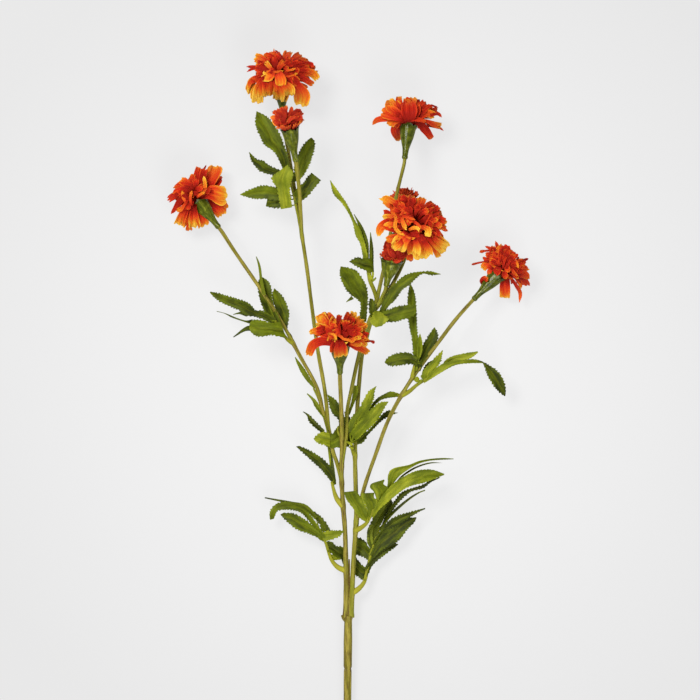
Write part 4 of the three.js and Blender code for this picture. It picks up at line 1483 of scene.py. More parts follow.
BLOOM_HEADS = {
    head.name: head
    for head in (
        Head(
            "top_left", (-54.6, 491, 31), (-0.03, 0.905, 0.42), calyx=27, size=1.06, seed=11,
            droop=0.95, turn=12, gold=0.0, depth=0.1, light=0.3, core=0.74,
            dome=(-54.4, 497.6, 28.8, 21.6, 20), bare=0.1, ruffles=(26, -53.6, 504.8, 1, 1.0, 0.96),
        ),
        Head(
            "left", (-121, 399, 23.2), (-0.6, 0.78, -0.16), calyx=27.5, size=1.04, seed=23,
            droop=0.85, gold=-0.32, depth=0.18, light=0.45, core=0.58,
            dome=(-122.4, 403.2, 25.6, 26.4, 20), bare=-1.0, ruffles=(12, -125.5, 406, -7, 0.35, 0.6),
            girth=1.08,
        ),
        Head(
            "top_right", (46.4, 459.6, 29), (0.1, 0.95, -0.3), calyx=29, size=0.98, seed=37,
            droop=0.75, turn=20, gold=-0.1, depth=0.1, light=0.35, core=0.62,
            dome=(45.6, 467.2, 28.8, 17.6, 22), bare=-1.0, ruffles=(7, 49.6, 473.6, -9, 0.6, 0.96),
            girth=1.08,
        ),
        Head(
            "middle", (48.4, 374.6, 62), (0.2, 0.48, 0.85), calyx=22, size=1.03, seed=41,
            floor=38, droop=0.8, gold=-0.1, depth=0.15, light=0.4, core=0.7,
            dome=(50.4, 377.6, 30.4, 27.2, 18), bare=0.2, ruffles=(46, 52, 385.6, 1.5, 0.9, 0.96),
        ),
        Head(
            "right", (118.4, 341, 21.7), (0.69, 0.72, -0.12), calyx=29, size=0.94, seed=59,
            droop=0.95, turn=25, gold=-0.2, depth=0.12, light=0.35, core=0.58,
            dome=(123.2, 347.2, 22.4, 21.6, 19), bare=-1.0, ruffles=(26, 124, 350.4, -4.6, 0.95, 0.78),
            girth=1.05,
        ),
        Head(
            "front", (-8, 287, 60), (0, 0.955, 0.3), calyx=27, size=0.97, seed=67,
            floor=32, droop=0.55, turn=26, gold=0.0, depth=0.12, light=0.45, core=0.66,
            dome=(-7.2, 292.8, 28, 17.6, 20), bare=0.1, ruffles=(28, -4, 295.2, 2.5, 1.45, 0.96),
            girth=1.35,
        ),
    )
}
BUD_HEADS = {
    head.name: head
    for head in (
        Head(
            "top_left", (-48, 457, 60), (-0.17, 0.93, 0.3), calyx=29, size=1, seed=71,
            gold=0.3, light=0.55, core=0.8,
            dome=(-49.6, 464, 14.4, 9.6, 9), ruffles=(14, -49.6, 463, 1, 0.9, 0.96), girth=1.12,
        ),
        Head(
            "middle", (33.2, 352.2, 46.6), (0.2, 0.97, 0.12), calyx=22, size=0.95, seed=83,
            gold=-0.1, depth=0.3, light=0.7, core=0.6,
            dome=(37.6, 358.4, 12, 9.6, 8), ruffles=(16, 37.6, 356, 1, 0.5, 0.96), girth=1.35,
        ),
        Head(
            "back", (43, 396, 14.5), (0.26, 0.92, -0.28), calyx=20, size=0.95, seed=97,
            gold=-0.1, depth=0.15, light=0.5, core=1,
        ),
    )
}
BRANCHES = (
    Branch(
        "front", (2.1, 1.6),
        ((-3.5, 68.1, 10.4), (-3.1, 81, 11.6), (-3.2, 106, 14.5), (-4, 137, 18), (-5.6, 157, 21),
         (-6.7, 178, 24.5), (-6.5, 206, 31), (-6.9, 231, 41)),
        BLOOM_HEADS["front"], green=0.1,
        web=((-1.2, 66.6, 9.9), (-0.9, 74, 10.6), (-0.7, 84, 11.7), (-0.7, 98, 13.3), (-0.6, 113, 14.8)),
    ),
    Branch(
        "top_right", (2, 1.35),
        ((1.05, 68.1, 10.4), (1.7, 86, 12.3), (3, 116, 15.5), (5, 147, 18.5), (4.6, 167, 19.8),
         (4, 198, 20.5), (5.6, 231, 22.5), (9.6, 275, 25), (13.6, 292, 27.5), (18.4, 308, 31),
         (23.2, 328, 33), (28, 350, 33.3), (32.8, 376, 32.6), (36.8, 402, 31.5)),
        BLOOM_HEADS["top_right"], green=0.4, brown=0.15,
        twig=(BUD_HEADS["back"], ((30.3, 362, 33), (35, 372, 26))),
    ),
    Branch(
        "top_left", (1.6, 1.4),
        ((-6.4, 174, 23.8), (-10.4, 190, 24.3), (-13.2, 198, 24.2), (-16.5, 214, 24.5),
         (-19.8, 246, 26.5), (-25.6, 280, 27), (-30, 312, 29), (-34.4, 346, 31), (-38.4, 372, 32.5),
         (-40.8, 388, 31.5), (-44.8, 412, 28.5), (-48.8, 436, 25.5)),
        BLOOM_HEADS["top_left"], "front", green=0.35, brown=0.15,
        twig=(BUD_HEADS["top_left"], ((-38.2, 370, 32.4), (-39.2, 388, 38.5), (-40.4, 408, 44.5))),
    ),
    Branch(
        "middle", (1.5, 1.6),
        ((-6.6, 188, 26.6), (-3, 212, 30.5), (-2.4, 231, 31), (1.6, 251, 31.5), (6.8, 275, 31.5),
         (11.2, 292, 34), (17.6, 308, 39), (24, 317.6, 42), (31, 327.5, 41.5), (39, 342.5, 36),
         (43.8, 354.5, 31.5)),
        BLOOM_HEADS["middle"], "front", green=0.5, brown=0.0,
        twig=(BUD_HEADS["middle"], ((22.8, 315.8, 41.6), (26.5, 324, 43.8))),
    ),
    Branch(
        "right", (1.6, 1.5),
        ((5, 143, 18.2), (11.2, 170, 23.5), (20.8, 198, 27), (30, 223, 29), (40.4, 243, 30),
         (51.2, 260, 30.5), (69.6, 285, 30), (84, 304, 28.5)),
        BLOOM_HEADS["right"], "top_right",
    ),
    Branch(
        "left", (1.5, 1.45),
        ((-16.4, 213, 24.5), (-22.2, 233.6, 27.5), (-26.4, 250, 29), (-39.2, 274, 30), (-54.4, 302, 30),
         (-63, 316, 30), (-73.6, 332, 29), (-92.8, 360, 27)),
        BLOOM_HEADS["left"], "top_left",
    ),
)
SPRIGS = (
    Sprig("low_left", "front", ((345.5, 570, 14.3), (338, 567, 14), (332, 560, 13.6), (328, 550, 13.8),
        (325.5, 542, 14.5), (321, 534, 15)), 1.0, (
        Blade(1, ((326, 537), (321, 530), (316, 522), (309, 512), (303, 506.5), (295, 503.3), (286, 501.5),
            (279, 502.5), (273, 506), (270, 511), (269.7, 518.5)), ((320, 540), (317, 534), (313, 526),
            (307, 518), (301, 512.5), (294, 509.8), (285, 509.5), (279, 509.7), (276, 513), (274, 518),
            (270.5, 519.5)), (17, 14), (0.3, 0.34)),
        Blade(0.95, ((318, 516), (306, 504.3), (299, 502.8), (292, 501), (283, 499.8), (275, 498.4),
            (265, 497)), ((315, 519), (303, 507.5), (297, 504.8), (290, 503), (282, 501.6), (275, 500),
            (265, 498.4)), (16.5, 9), (0.2, 0.1), teeth=0.2, tilt=1),
        Blade(0.9, ((331, 530.5), (327.5, 525), (323, 518), (317, 513.5), (311, 509.5), (307, 505.5)),
            ((321, 531), (320, 525), (317, 520.5), (313, 516), (309, 511), (306.5, 506.5)), (13.5, 12),
            (0.1, 0.05), back=0.2),
        Blade(0.97, ((326, 540), (321, 533), (314, 526), (307, 520), (300, 516), (294, 513), (288, 512.3),
            (283.5, 512.6), (281, 513.8)), ((323, 541.5), (317, 537), (311, 534.5), (304, 532), (297, 528.5),
            (290, 523), (285, 519), (282, 516), (280.6, 514.6)), (16.5, 14), (0.34, 0.2)),
        Blade(0.9, ((322, 532), (326, 530.8), (332, 530.3), (338, 529.8), (343.5, 530.3)), ((323.5, 540),
            (328, 540), (333, 538.5), (338, 536.5), (341, 534), (344, 531.5)), (17, 19), (0.52, 0.5),
            back=0.35),
        Blade(0.72, ((326, 541), (330, 540.5), (334, 543), (337, 545.5), (341, 545.5), (345, 550)),
            ((328, 551), (332, 553.5), (336, 556), (340, 559), (343, 563), (346, 564)), (10, 7),
            (0.14, 0.08)),
        Blade(0.5, ((329, 553), (334, 554.5), (340, 556.5)), ((331, 560), (335, 560), (340, 559.5)),
            (11, 10), (0.7, 0.6), teeth=0.2),
    ), stout=1.35),
    Sprig("low_right", "top_right", ((351.9, 592.5, 12.2), (358, 589, 11.8), (364.4, 581, 11.3),
        (367.5, 568, 11), (371.5, 551, 11), (379, 529, 11.5)), 1.0, (
        Blade(0.27, ((366, 568), (370.5, 559), (376, 552.5), (383, 547), (389, 543.5), (393, 542.2),
            (398, 543.6)), ((364.5, 580), (368, 574.5), (370.5, 568), (374.5, 563.3), (379, 559.3),
            (385, 555), (391, 550), (395, 546.7), (398.4, 544.6)), (11, 9), (0.1, 0.12)),
        Blade(0.5, ((369, 556), (374, 545.5), (379, 537), (384, 530), (390, 524.5), (397, 520.5),
            (404, 518.3), (410, 517.5), (416, 517)), ((369, 563), (375, 556.6), (382, 550.3), (388, 546),
            (394, 542.5), (399, 539.8), (401.8, 536), (406, 530), (411, 525), (414, 522.2), (416.2, 518.3)),
            (13, 11), (0.07, 0.0)),
        Blade(0.68, ((372, 545), (377, 535.5), (382, 527), (388, 520.5), (394, 517), (402, 514), (411, 511),
            (419, 508.7), (425, 507.3)), ((374, 548.5), (380, 541), (385, 535), (391, 529.5), (398, 524.5),
            (405, 520.8), (411, 517), (418, 512), (425.2, 508.5)), (15, 14), (0.06, 0.0), tilt=-1.5),
        Blade(0.6, ((371, 549), (368, 546.5), (366, 542), (363, 539.5), (360, 537.5), (357, 537),
            (353, 539)), ((369, 560), (366, 559), (362, 557), (358, 555), (354, 553)), (8, 6), (0.1, 0.08),
            back=0.15),
        Blade(0.4, ((368, 562), (365, 566), (361, 562), (358, 558.5), (354, 554.5)), ((365, 580.5),
            (361, 579), (357, 576), (353, 573.5)), (8, 5), (0.05, 0.05)),
        Blade(0.72, ((370.5, 549), (367.5, 543), (366.8, 537), (367.5, 530), (370.5, 522.5), (375, 514),
            (379.5, 506), (385, 501.5), (391, 499)), ((377, 540), (378.5, 533), (380, 526), (384, 519),
            (388, 513), (391, 507), (392.5, 502.5), (391.3, 499.2)), (11, 9), (0.12, 0.1), back=0.2),
        Blade(0.72, ((370.5, 549), (367.3, 543), (366.6, 537), (367.6, 529.5), (371, 524)), ((374, 546),
            (373, 540), (372.6, 534), (373.5, 529), (373.5, 525)), (12, 12), (0.3, 0.3), back=0.9,
            teeth=0.1),
        Blade(0.95, ((382, 524), (387, 513), (393, 504), (397, 497), (402, 491.8), (409, 488.7), (417, 486),
            (424, 483.5), (430, 480), (439.5, 476.6)), ((384.5, 525), (391, 514), (395, 507), (400, 500.5),
            (405, 495.5), (411, 491), (418, 489), (424, 487.3), (430, 482.6), (439.8, 477.4)), (14, 13),
            (0.08, 0.03), tilt=-1.5),
        Blade(0.93, ((379, 530), (387, 517), (395, 509), (404, 501), (411, 496.5), (418, 492), (425, 489.6)),
            ((381, 531), (389, 518.5), (397, 510.3), (406, 502), (413, 497.3), (419, 493.2), (425.2, 490.4)),
            (13, 11), (0.4, 0.5), teeth=0.15, tilt=2),
    ), stout=1.35),
    Sprig("mid_right", "top_right", ((355.5, 530, 17.8), (361.5, 527, 22), (367, 521.6, 24.5),
        (372, 511.5, 26.5), (380, 499, 28), (394, 487, 30)), 0.8, (
        Blade(0.26, ((366.5, 521.5), (361, 519), (357.5, 515), (354, 508.5), (350, 502.5), (346.5, 498),
            (344, 491)), ((369.5, 514), (367, 507.5), (364, 501.5), (361, 497), (358.5, 493.5),
            (356.5, 490)), (30, 33), (0.56, 0.36), back=0.15, teeth=0.5),
        Blade(0.3, ((368, 521), (368.3, 512), (366.5, 506), (363, 499.5), (361, 496), (361, 492.3)),
            ((375, 512), (377, 503), (377, 498.5), (374.5, 497.5), (373.5, 495), (374.5, 492)), (29, 32),
            (0.54, 0.3), back=0.15, teeth=0.1),
        Blade(0.6, ((377, 506), (376.5, 498.5), (374, 491.5), (370, 487), (370.8, 484), (375, 482),
            (379, 481), (384, 479)), ((388, 496), (388.5, 490), (387.5, 486), (385, 485), (383, 483),
            (384.3, 479.8)), (31, 34), (0.55, 0.36), back=0.15, teeth=0.1),
        Blade(0.75, ((383, 497), (386, 489), (387.5, 482), (387.3, 476), (389.3, 470.7), (394, 467.8),
            (400, 466.7), (408, 464.5), (414, 462), (420, 460), (430, 458.8), (441, 457.6), (453, 458)),
            ((394, 489), (393, 483.5), (396, 478.5), (401, 473.5), (407, 469), (413, 465.5), (420, 462.6),
            (430, 460.3), (441, 459.4), (453, 459)), (32, 30, 25), (0.54, 0.36), teeth=0.2),
        Blade(0.95, ((394, 484), (401, 475), (408, 470), (415, 466), (422, 463.5), (430, 461.7),
            (437, 461.6), (442.5, 462.2)), ((395.5, 485.5), (402, 477), (409, 471.8), (416, 467.8),
            (423, 465), (430, 463), (437, 462.9), (442.5, 462.8)), (28, 22), (0.35, 0.15), teeth=0.1),
        Blade(0.4, ((371, 515), (377, 503), (385, 491.5), (392, 483.8), (400, 478), (408, 473.3),
            (416, 470.2), (425, 469), (433, 469.5), (439, 471.5), (443.5, 473.3)), ((373, 517.5),
            (379, 509.5), (386, 502.5), (393, 497.3), (400, 491.5), (407, 487), (414, 484.3), (422, 482.5),
            (430, 479.5), (437, 476.5), (443.6, 474.2)), (33, 29), (0.54, 0.5), rib=0.75, teeth=0.4),
    ), stout=1.3, light=0.05),
    Sprig("dark_left", "front", ((343, 505.6, 20.8), (337, 498, 20), (333.5, 489.5, 19.5), (332, 481, 19)),
        1.0, (
        Blade(0.93, ((333, 484), (330, 480), (325.5, 475), (320.5, 468.5), (313, 462), (306, 455.5),
            (300, 450), (296.2, 446.5)), ((336, 480), (333.5, 471), (329, 464), (323, 459), (316, 453.5),
            (308, 449.5), (302, 447), (299, 445.8), (296.6, 446)), (20, 19), (0.02, 0.08)),
        Blade(1, ((333, 485), (332.5, 476), (331, 466), (329.5, 456), (328.5, 447)), ((336.5, 484),
            (335.5, 474), (334, 464), (332.3, 454), (330.8, 447)), (18, 16), (0.04, 0.02), teeth=0.2,
            tilt=2),
        Blade(1, ((330.5, 472), (329.3, 462), (327.8, 453), (327.2, 446)), ((331.8, 472), (331, 462),
            (330.3, 453), (330.3, 446)), (19, 18), (0.7, 0.75), teeth=0.1),
    ), stout=1.5),
    Sprig("mid_left", "top_left", ((330.5, 441, 24.3), (329.3, 437.5, 27), (329, 434.4, 28.2)), 0.0, (
        Blade(0.8, ((330, 433), (326, 432.3), (322, 432), (318, 434.2), (314, 438.3)), ((330, 447),
            (325, 445.3), (321, 443.5), (317.5, 442), (314.2, 439.2)), (30, 30), (0.62, 0.78)),
        Blade(0.9, ((326, 434), (331, 433.5), (335, 428.5), (338, 425.5), (342, 424.5), (347, 426),
            (353, 429.5), (358, 431), (364, 432.5)), ((326, 446), (332, 447.3), (338, 447.5), (343, 446.5),
            (348, 445.5), (352, 441.5), (357, 440.2), (362, 438), (364.3, 434)), (24, 24),
            (0.46, 0.26, 0.1, 0.1)),
        Blade(0.9, ((325, 430), (319, 424), (313, 418), (308, 413.5), (303.6, 411)), ((322.5, 433),
            (318, 429.5), (313, 425.5), (309.5, 421), (307, 415), (303.4, 411.6)), (25, 20), (0.02, 0.0),
            tilt=1),
        Blade(1, ((325, 415), (321.3, 407.5), (317.6, 401.6), (312, 396), (307.4, 393)), ((324.5, 419),
            (319.5, 412.4), (314.7, 406), (312.5, 400.5), (307, 393.6)), (26, 22), (0.5, 0.45), back=0.5,
            teeth=0.3, tilt=1.5),
    )),
    Sprig("left_low", "left", ((320.25, 400, 28.2), (316.25, 393.1, 26.5), (313.75, 388.1, 25.8)), 0.0, (
        Blade(0.9, ((314, 388), (309, 382.5), (304.5, 377.5), (301, 370.5), (297.5, 364.5), (295.2, 357.3)),
            ((316, 388), (312, 381), (308, 374), (304, 367.5), (299, 361.5), (295.6, 357)), (25, 23),
            (0.4, 0.42), back=0.4, teeth=0.3, tilt=1.5),
    )),
    Sprig("centre_right", "top_right", ((355, 455, 20.4), (352, 447.5, 26), (351, 442, 28.8)), 0.3, (
        Blade(1, ((346, 432), (348.5, 423), (352, 416.5), (357, 411), (360.5, 405), (364.5, 398),
            (369, 391.5), (376, 385.8)), ((362, 432), (364, 423), (367, 414), (371.5, 405), (374, 397.5),
            (374.2, 391.5), (376.4, 386.5)), (34, 38), (0.36, 0.5)),
        Blade(0.95, ((350, 433), (356, 424), (363, 416), (370, 409.5), (376, 404.3), (381, 402),
            (388, 401.2)), ((356, 440), (363, 433), (369, 428), (374.5, 423), (379, 417.5), (382.5, 411.5),
            (385, 406), (388.2, 402)), (34, 35), (0.42, 0.62)),
        Blade(0.85, ((366, 411), (371, 404), (376, 398.5), (383, 394.5), (390, 391.5), (396, 392.3),
            (401, 394.5)), ((368, 413), (373, 408), (378, 402), (384, 398.5), (390, 397.5), (396, 397.3),
            (401.2, 396.5)), (28, 23), (0.2, 0.42), teeth=0.3),
        Blade(0.75, ((363, 433), (368, 430), (373, 424.5), (378, 418.5), (384, 412.5), (390, 410.3),
            (394, 412), (398.3, 412.2)), ((366, 436), (370, 431.5), (376, 426), (382, 420.5), (387, 417.3),
            (391, 415.3), (395, 413.6), (398.4, 412.8)), (24, 21), (0.08, 0.15)),
        Blade(0.7, ((356, 438), (361, 434), (366.5, 432.5)), ((357.5, 444.5), (362.5, 442.5), (365.5, 438),
            (367, 433.5)), (25, 24), (0.08, 0.05)),
        Blade(1, ((346, 418), (349, 408), (352, 398), (352.5, 390), (353, 385)), ((350, 414), (353, 406),
            (355.5, 399), (358.3, 392), (358.3, 385.5)), (27, 28.4), (0.62, 0.62), teeth=0.15),
        # An almost black blade: painted shade by the leaf roots beside the stem.
        Blade(0.9, ((344, 427), (345, 418), (344.5, 411.5)), ((350.5, 425), (350.5, 419), (346, 412)),
            (27, 26), (0.05, 0.05), teeth=0.2),
        Blade(29.5, ((351.5, 445.6), (348, 443), (346, 441.7)), ((353, 443.9), (349.6, 441.4),
            (346.6, 440.4)), (30, 33), (0.8, 0.9), teeth=0.2, joined=False),
        Blade(29.5, ((352, 449.6), (350, 448), (348.5, 446.9)), ((353.6, 447.7), (351, 446), (349, 445.6)),
            (29, 30), (0.8, 0.8), teeth=0.2, joined=False),
    ), 0, 1.5),
    Sprig("front_back", "front", ((341.75, 437.5, 32.6), (338.25, 431.9, 31.5), (338, 426, 31.5)), 0.0, (
        Blade(0.9, ((339.5, 426), (338, 419.5), (334, 415), (330.5, 409), (329, 402), (327.3, 394.3)),
            ((346.5, 424), (344, 413.5), (341.5, 407.5), (338, 402.5), (333, 397.5), (328, 394.2)), (33, 33),
            (0.06, 0.1)),
    )),
    Sprig("right_low", "right", ((401.25, 395, 30), (409, 391, 29), (416, 385, 28.5), (422, 381.5, 28.5),
        (430, 377, 29)), 0.4, (
        Blade(0.74, ((423, 382), (420.8, 377), (422.5, 371), (427, 365.5), (431.5, 361.3), (436.5, 355.5),
            (442, 349.8)), ((430, 378), (432.5, 372.5), (436, 367.5), (439.3, 362.5), (440.3, 357),
            (442.4, 350.6)), (31, 34), (0.6, 0.58)),
        Blade(0.72, ((421.5, 376), (423.5, 367), (427.5, 362.5), (431.5, 360.5)), ((424, 376), (427, 368),
            (431, 363), (432.3, 361)), (28, 27), (0.05, 0.05)),
        Blade(0.9, ((424, 380), (430, 373), (436, 367.5), (442, 364), (449, 361.5), (457, 360.5),
            (467, 359.3), (475, 359.2), (482, 361.3)), ((424, 383), (432, 378), (440, 373), (448, 368.3),
            (455, 365.2), (463, 363.9), (471, 363.2), (477, 363.6), (481.5, 363.2)), (32, 32, 28),
            (0.62, 0.55), back=0.2, teeth=0.3),
        Blade(28.6, ((473, 359.4), (481, 361), (488.5, 364.7), (496.2, 370.2), (501.7, 378), (505, 388.8),
            (505, 395)), ((474, 360.6), (481, 362.8), (483.6, 367.2), (485.4, 373.5), (489.6, 379.3),
            (493, 385.5), (498.4, 391.3), (504.4, 396)), (28, 16), (0.12, 0.05), joined=False),
        Blade(1, ((441, 366), (444.5, 360.5), (450, 357), (458, 354.2), (467, 352.5), (477, 351.2)),
            ((448, 365), (455, 361), (463, 360), (470, 358), (474, 355.5), (477.4, 352.2)), (32, 33),
            (0.66, 0.66), back=0.4, teeth=0.5),
        Blade(30.5, ((413.3, 380), (414.5, 377.3), (417, 376.3)), ((416, 382.7), (418.6, 380.7),
            (418.8, 378)), (30.5, 32), (0.7, 0.55), teeth=0.2, joined=False),
        Blade(30.5, ((416.8, 381), (419, 379.6), (421, 378.5)), ((417.5, 384.3), (420, 383), (421.8, 380.5)),
            (30.5, 31), (0.6, 0.6), teeth=0.2, joined=False),
    ), 0, 1.5, light=0.02),
    Sprig("right_high", "right", ((412, 377.75, 30.4), (412.5, 372.5, 33.5), (413.5, 365.6, 34.5),
        (415, 359, 35)), 0.6, (
        Blade(0.5, ((413, 372), (412.7, 362), (412.5, 352), (412, 342), (410.5, 334), (408.5, 326),
            (407.3, 316), (407.2, 305), (407.3, 296), (408.3, 289), (409.6, 284.5)), ((417, 370), (419, 360),
            (420.3, 351), (419, 343), (417.3, 335), (416.7, 325), (415.8, 314), (415, 304), (414.7, 297),
            (413.3, 290), (410.6, 284.8)), (34, 37), (0.42, 0.36)),
        Blade(0.7, ((416, 360), (417, 348), (417.5, 340), (419.3, 334)), ((420, 357), (421.7, 350),
            (421.8, 342), (419.9, 334.3)), (35, 37), (0.45, 0.36), teeth=0.4),
        Blade(0.8, ((417, 366), (419, 356), (421.5, 347.5), (426, 341), (430, 334.5), (434, 327.5)),
            ((422, 364), (428, 355), (434, 346), (437.3, 338), (437, 332.5), (434.6, 327.7)), (28, 26.5),
            (0.0, 0.1)),
        Blade(0.9, ((417, 357), (413, 354.5), (408, 352.3), (402, 352.6), (395, 354), (389, 356.8),
            (384.5, 362)), ((417, 366), (412, 364.3), (405, 364.3), (397, 365), (390, 365.6),
            (384.7, 362.9)), (38, 36), (0.12, 0.36)),
        Blade(0.7, ((416, 364), (417.5, 368), (419, 371.5)), ((421, 360), (421.7, 366), (420, 371.5)),
            (32, 31), (0.0, 0.0), teeth=0.1),
    )),
    Sprig("middle_node", "middle", ((370.75, 317.75, 38.6), (371.75, 315, 43), (374.5, 312.5, 45.6)), 0.0, (
        Blade(1, ((378, 314), (381, 306), (384.5, 297.5), (389.5, 289.5), (396, 282.2), (402, 277.3),
            (409, 274.2), (416, 272.9), (423, 271.7), (430, 272), (440, 274.3)), ((385, 312), (388.5, 306.5),
            (393.5, 302), (397, 297.5), (399.5, 293), (402.5, 289.7), (408, 286.3), (413, 282.3),
            (417.5, 277.5), (421.5, 274.6), (430, 275.4), (440.2, 274.8)), (50, 41), (0.1, 0.42)),
        Blade(0.95, ((379, 314), (383.5, 311), (389, 309.3), (396, 307), (403, 306.4), (410, 305.8),
            (415.5, 307)), ((378, 322), (383, 322.5), (389, 322.3), (396, 321.6), (402, 320), (408, 318.2),
            (413, 315.5), (416, 311)), (45, 43), (0.06, 0.14)),
        Blade(1, ((379, 311.5), (383.5, 315), (388.3, 318.2), (384.5, 322), (381, 326.2)), ((374.5, 311.5),
            (372.3, 315.5), (369.8, 319.5), (372, 324), (375.5, 327.3)), (52, 53), (0.6, 0.66), back=0.5),
        Blade(0.8, ((370.5, 319), (368.8, 311), (368.7, 304), (370, 299)), ((374, 317), (375.5, 309),
            (375, 303), (372.5, 299.2)), (45, 45.5), (0.02, 0.06)),
    ), light=0.05),
    Sprig("top_right_left", "top_right", ((366.75, 336.25, 27.4), (363.75, 328.75, 30), (362.25, 320, 31.5)),
        0.0, (
        Blade(0.95, ((358, 322), (359.5, 313), (360.8, 306), (359, 302), (354.5, 298.7), (349, 293.5),
            (345, 288), (342, 281), (340.3, 273.5), (340.7, 267)), ((366, 322), (367, 312), (368, 303),
            (368.4, 295), (367.5, 288.5), (364.3, 283), (360.5, 276.5), (356, 271.5), (350, 268.7),
            (345, 267.4), (341.3, 266.6)), (34, 35), (0.16, 0.32), rib=0.3),
        Blade(33, ((354, 299.5), (346.5, 302.2)), ((351.5, 296), (346.2, 301.7)), (29, 27), (0.1, 0.1),
            teeth=0.0, joined=False),
    ), light=0.06),
    Sprig("top_right_high", "top_right", ((377, 298.75, 32.4), (373, 289, 35.5), (370, 281, 37.3),
        (368.5, 272, 37.8), (367.5, 264, 37.5)), 0.0, (
        Blade(1, ((364, 266), (362.7, 255.7), (360, 244.6), (355.8, 236), (354, 228), (352.2, 222.4),
            (348.4, 214.6), (343.1, 205.7), (337.6, 199.5), (334, 194.7), (331.7, 188), (330.2, 181.5)),
            ((368.5, 266), (367.2, 255.7), (364.4, 244.6), (362.2, 235.7), (359.5, 228), (355.7, 222.4),
            (351.8, 214.6), (347.4, 205.7), (342.7, 199), (339.2, 194), (335, 188), (330.7, 181)),
            (36, 34, 30), (0.55, 0.45), back=0.2, teeth=0.6, tilt=1),
        Blade(0.98, ((366, 258), (364.5, 243), (361.5, 233), (358, 225), (355.5, 219), (353.8, 215.3)),
            ((368.5, 259), (368.2, 243), (366.5, 238), (363, 229), (360, 224), (357, 219.5), (354.2, 215)),
            (35, 33), (0.06, 0.1), tilt=1.5, teeth=0.2),
        Blade(0.9, ((369, 270), (369.3, 258), (369.5, 247), (370, 240), (370.3, 233)), ((373.3, 271),
            (373.4, 260), (373.3, 250), (372.5, 243), (371.5, 237), (370.8, 233)), (40, 41), (0.06, 0.1),
            tilt=1.5, teeth=0.3),
        Blade(0.85, ((373.5, 273), (368, 271), (363, 270), (358, 267.2), (353.5, 264.7), (349.2, 262.7)),
            ((373, 260), (368, 259), (363, 259.5), (358, 258.3), (354, 260), (349.3, 262.1)), (43, 42),
            (0.1, 0.16)),
        Blade(39, ((366, 274), (368.6, 278), (371, 281.5)), ((368.5, 272.5), (371, 276.5), (372.5, 281)),
            (39, 38), (0.5, 0.7), teeth=0.2, joined=False),
        Blade(39.5, ((371, 281), (371.3, 276), (372, 272)), ((372.8, 281), (374, 276.5), (373.8, 273)),
            (38, 40), (0.6, 0.9), teeth=0.2, joined=False),
        Blade(39, ((371.5, 281), (373.5, 278.6), (375.6, 277.4)), ((372.5, 282.3), (375.3, 280.9),
            (376.4, 279)), (38.5, 38), (0.7, 0.6), teeth=0.2, joined=False),
    ), 1.0, 1.5, light=0.07),
    Sprig("top_left", "top_left", ((300, 221.25, 32), (296.75, 210, 35.2), (294.5, 197.5, 35.4),
        (291.5, 185, 35), (289.5, 172.5, 34.2)), 0.2, (
        Blade(1, ((283.5, 171), (280, 163), (277, 157), (272, 151), (267, 148), (264, 145), (261, 139),
            (258, 132), (256.5, 126), (256, 120), (257, 112.5)), ((291, 173), (289.5, 165), (288.5, 158),
            (287, 152), (285, 147), (282, 141), (280.5, 137), (278, 131), (273, 124.5), (268, 119),
            (263, 116), (257.8, 112.3)), (35, 29), (0.08, 0.34)),
        Blade(0.93, ((284, 179), (277, 177), (270, 175.5), (264, 174), (260, 172), (256, 167.5), (252, 161),
            (250, 155), (249.3, 153.3)), ((287, 173), (281, 171.5), (275, 168), (270, 166), (264, 162),
            (258, 160.5), (254, 156.5), (249.7, 153.1)), (31, 29), (0.05, 0.1)),
        Blade(0.5, ((290, 204), (284, 203), (277, 202), (267, 200), (260, 199.6), (252, 199), (246, 197.3),
            (240.7, 195.7)), ((290, 192), (284, 190.5), (277, 189), (270, 187), (264, 186.5), (257, 188.2),
            (250, 190.5), (245, 192.5), (240.7, 195.2)), (33, 28), (0.12, 0.3)),
        Blade(0.35, ((291, 206), (284, 208), (277, 208.5), (271, 208), (266.5, 206.6)), ((290, 195),
            (283, 195.5), (275, 197), (268, 198.3)), (31, 31), (0.1, 0.15)),
        Blade(0.25, ((281, 210), (280, 203), (279, 196), (277, 189), (273, 184), (271.7, 180), (277, 175),
            (283, 170)), ((292.5, 208), (291, 200), (290.5, 192), (292, 184), (293.3, 177), (291.5, 171),
            (288, 166)), (44, 46), (0.72, 0.6), back=0.4),
        Blade(0.75, ((293, 183), (294, 172), (295, 164), (298, 156), (302, 148.5), (306, 143), (311, 139)),
            ((299, 182), (304.5, 176), (308, 170), (311.5, 162), (313.5, 152), (314.7, 144), (312.5, 139.3)),
            (36, 33), (0.4, 0.3)),
        Blade(0.45, ((294, 194), (297, 190), (300, 187.5), (304, 184), (307, 179), (310, 176), (312, 173.8)),
            ((295, 205), (298, 203.6), (303, 201), (308, 197), (312, 192.5), (316, 187.5), (319, 184),
            (321.3, 181.3)), (35, 34), (0.25, 0.12)),
    )),
    Sprig("left", "left", ((293, 343.25, 30), (287.5, 339.5, 33.5), (280.6, 328.75, 36), (275.6, 320.6, 37)),
        0.3, (
        Blade(0.92, ((276, 328), (268, 322), (261, 318.8), (254, 316.8), (247, 316.2), (243, 313),
            (240, 310.5), (234, 308.3), (228, 305.3), (222, 302.4), (217, 299.4), (213.5, 296.5),
            (210.9, 293.3)), ((276, 318), (269, 314), (262, 310.8), (257, 310.8), (254, 306.8), (248.5, 303),
            (242, 300.5), (235, 298.6), (228, 296), (220, 293.5), (215, 292.4), (211, 292)), (36, 32),
            (0.0, 0.12)),
        Blade(35, ((247, 317), (240, 314.4), (234, 315.2)), ((247, 311.5), (241, 312), (234, 314.3)),
            (34.5, 34), (0.1, 0.1), teeth=0.1, joined=False),
        Blade(0.75, ((286, 338), (281, 336.8), (274, 335.6), (267, 335.8), (260, 336.6), (255, 335),
            (251, 331.5), (249.8, 328)), ((281, 322), (274, 323), (267, 321.3), (260, 320.2), (254, 320.6),
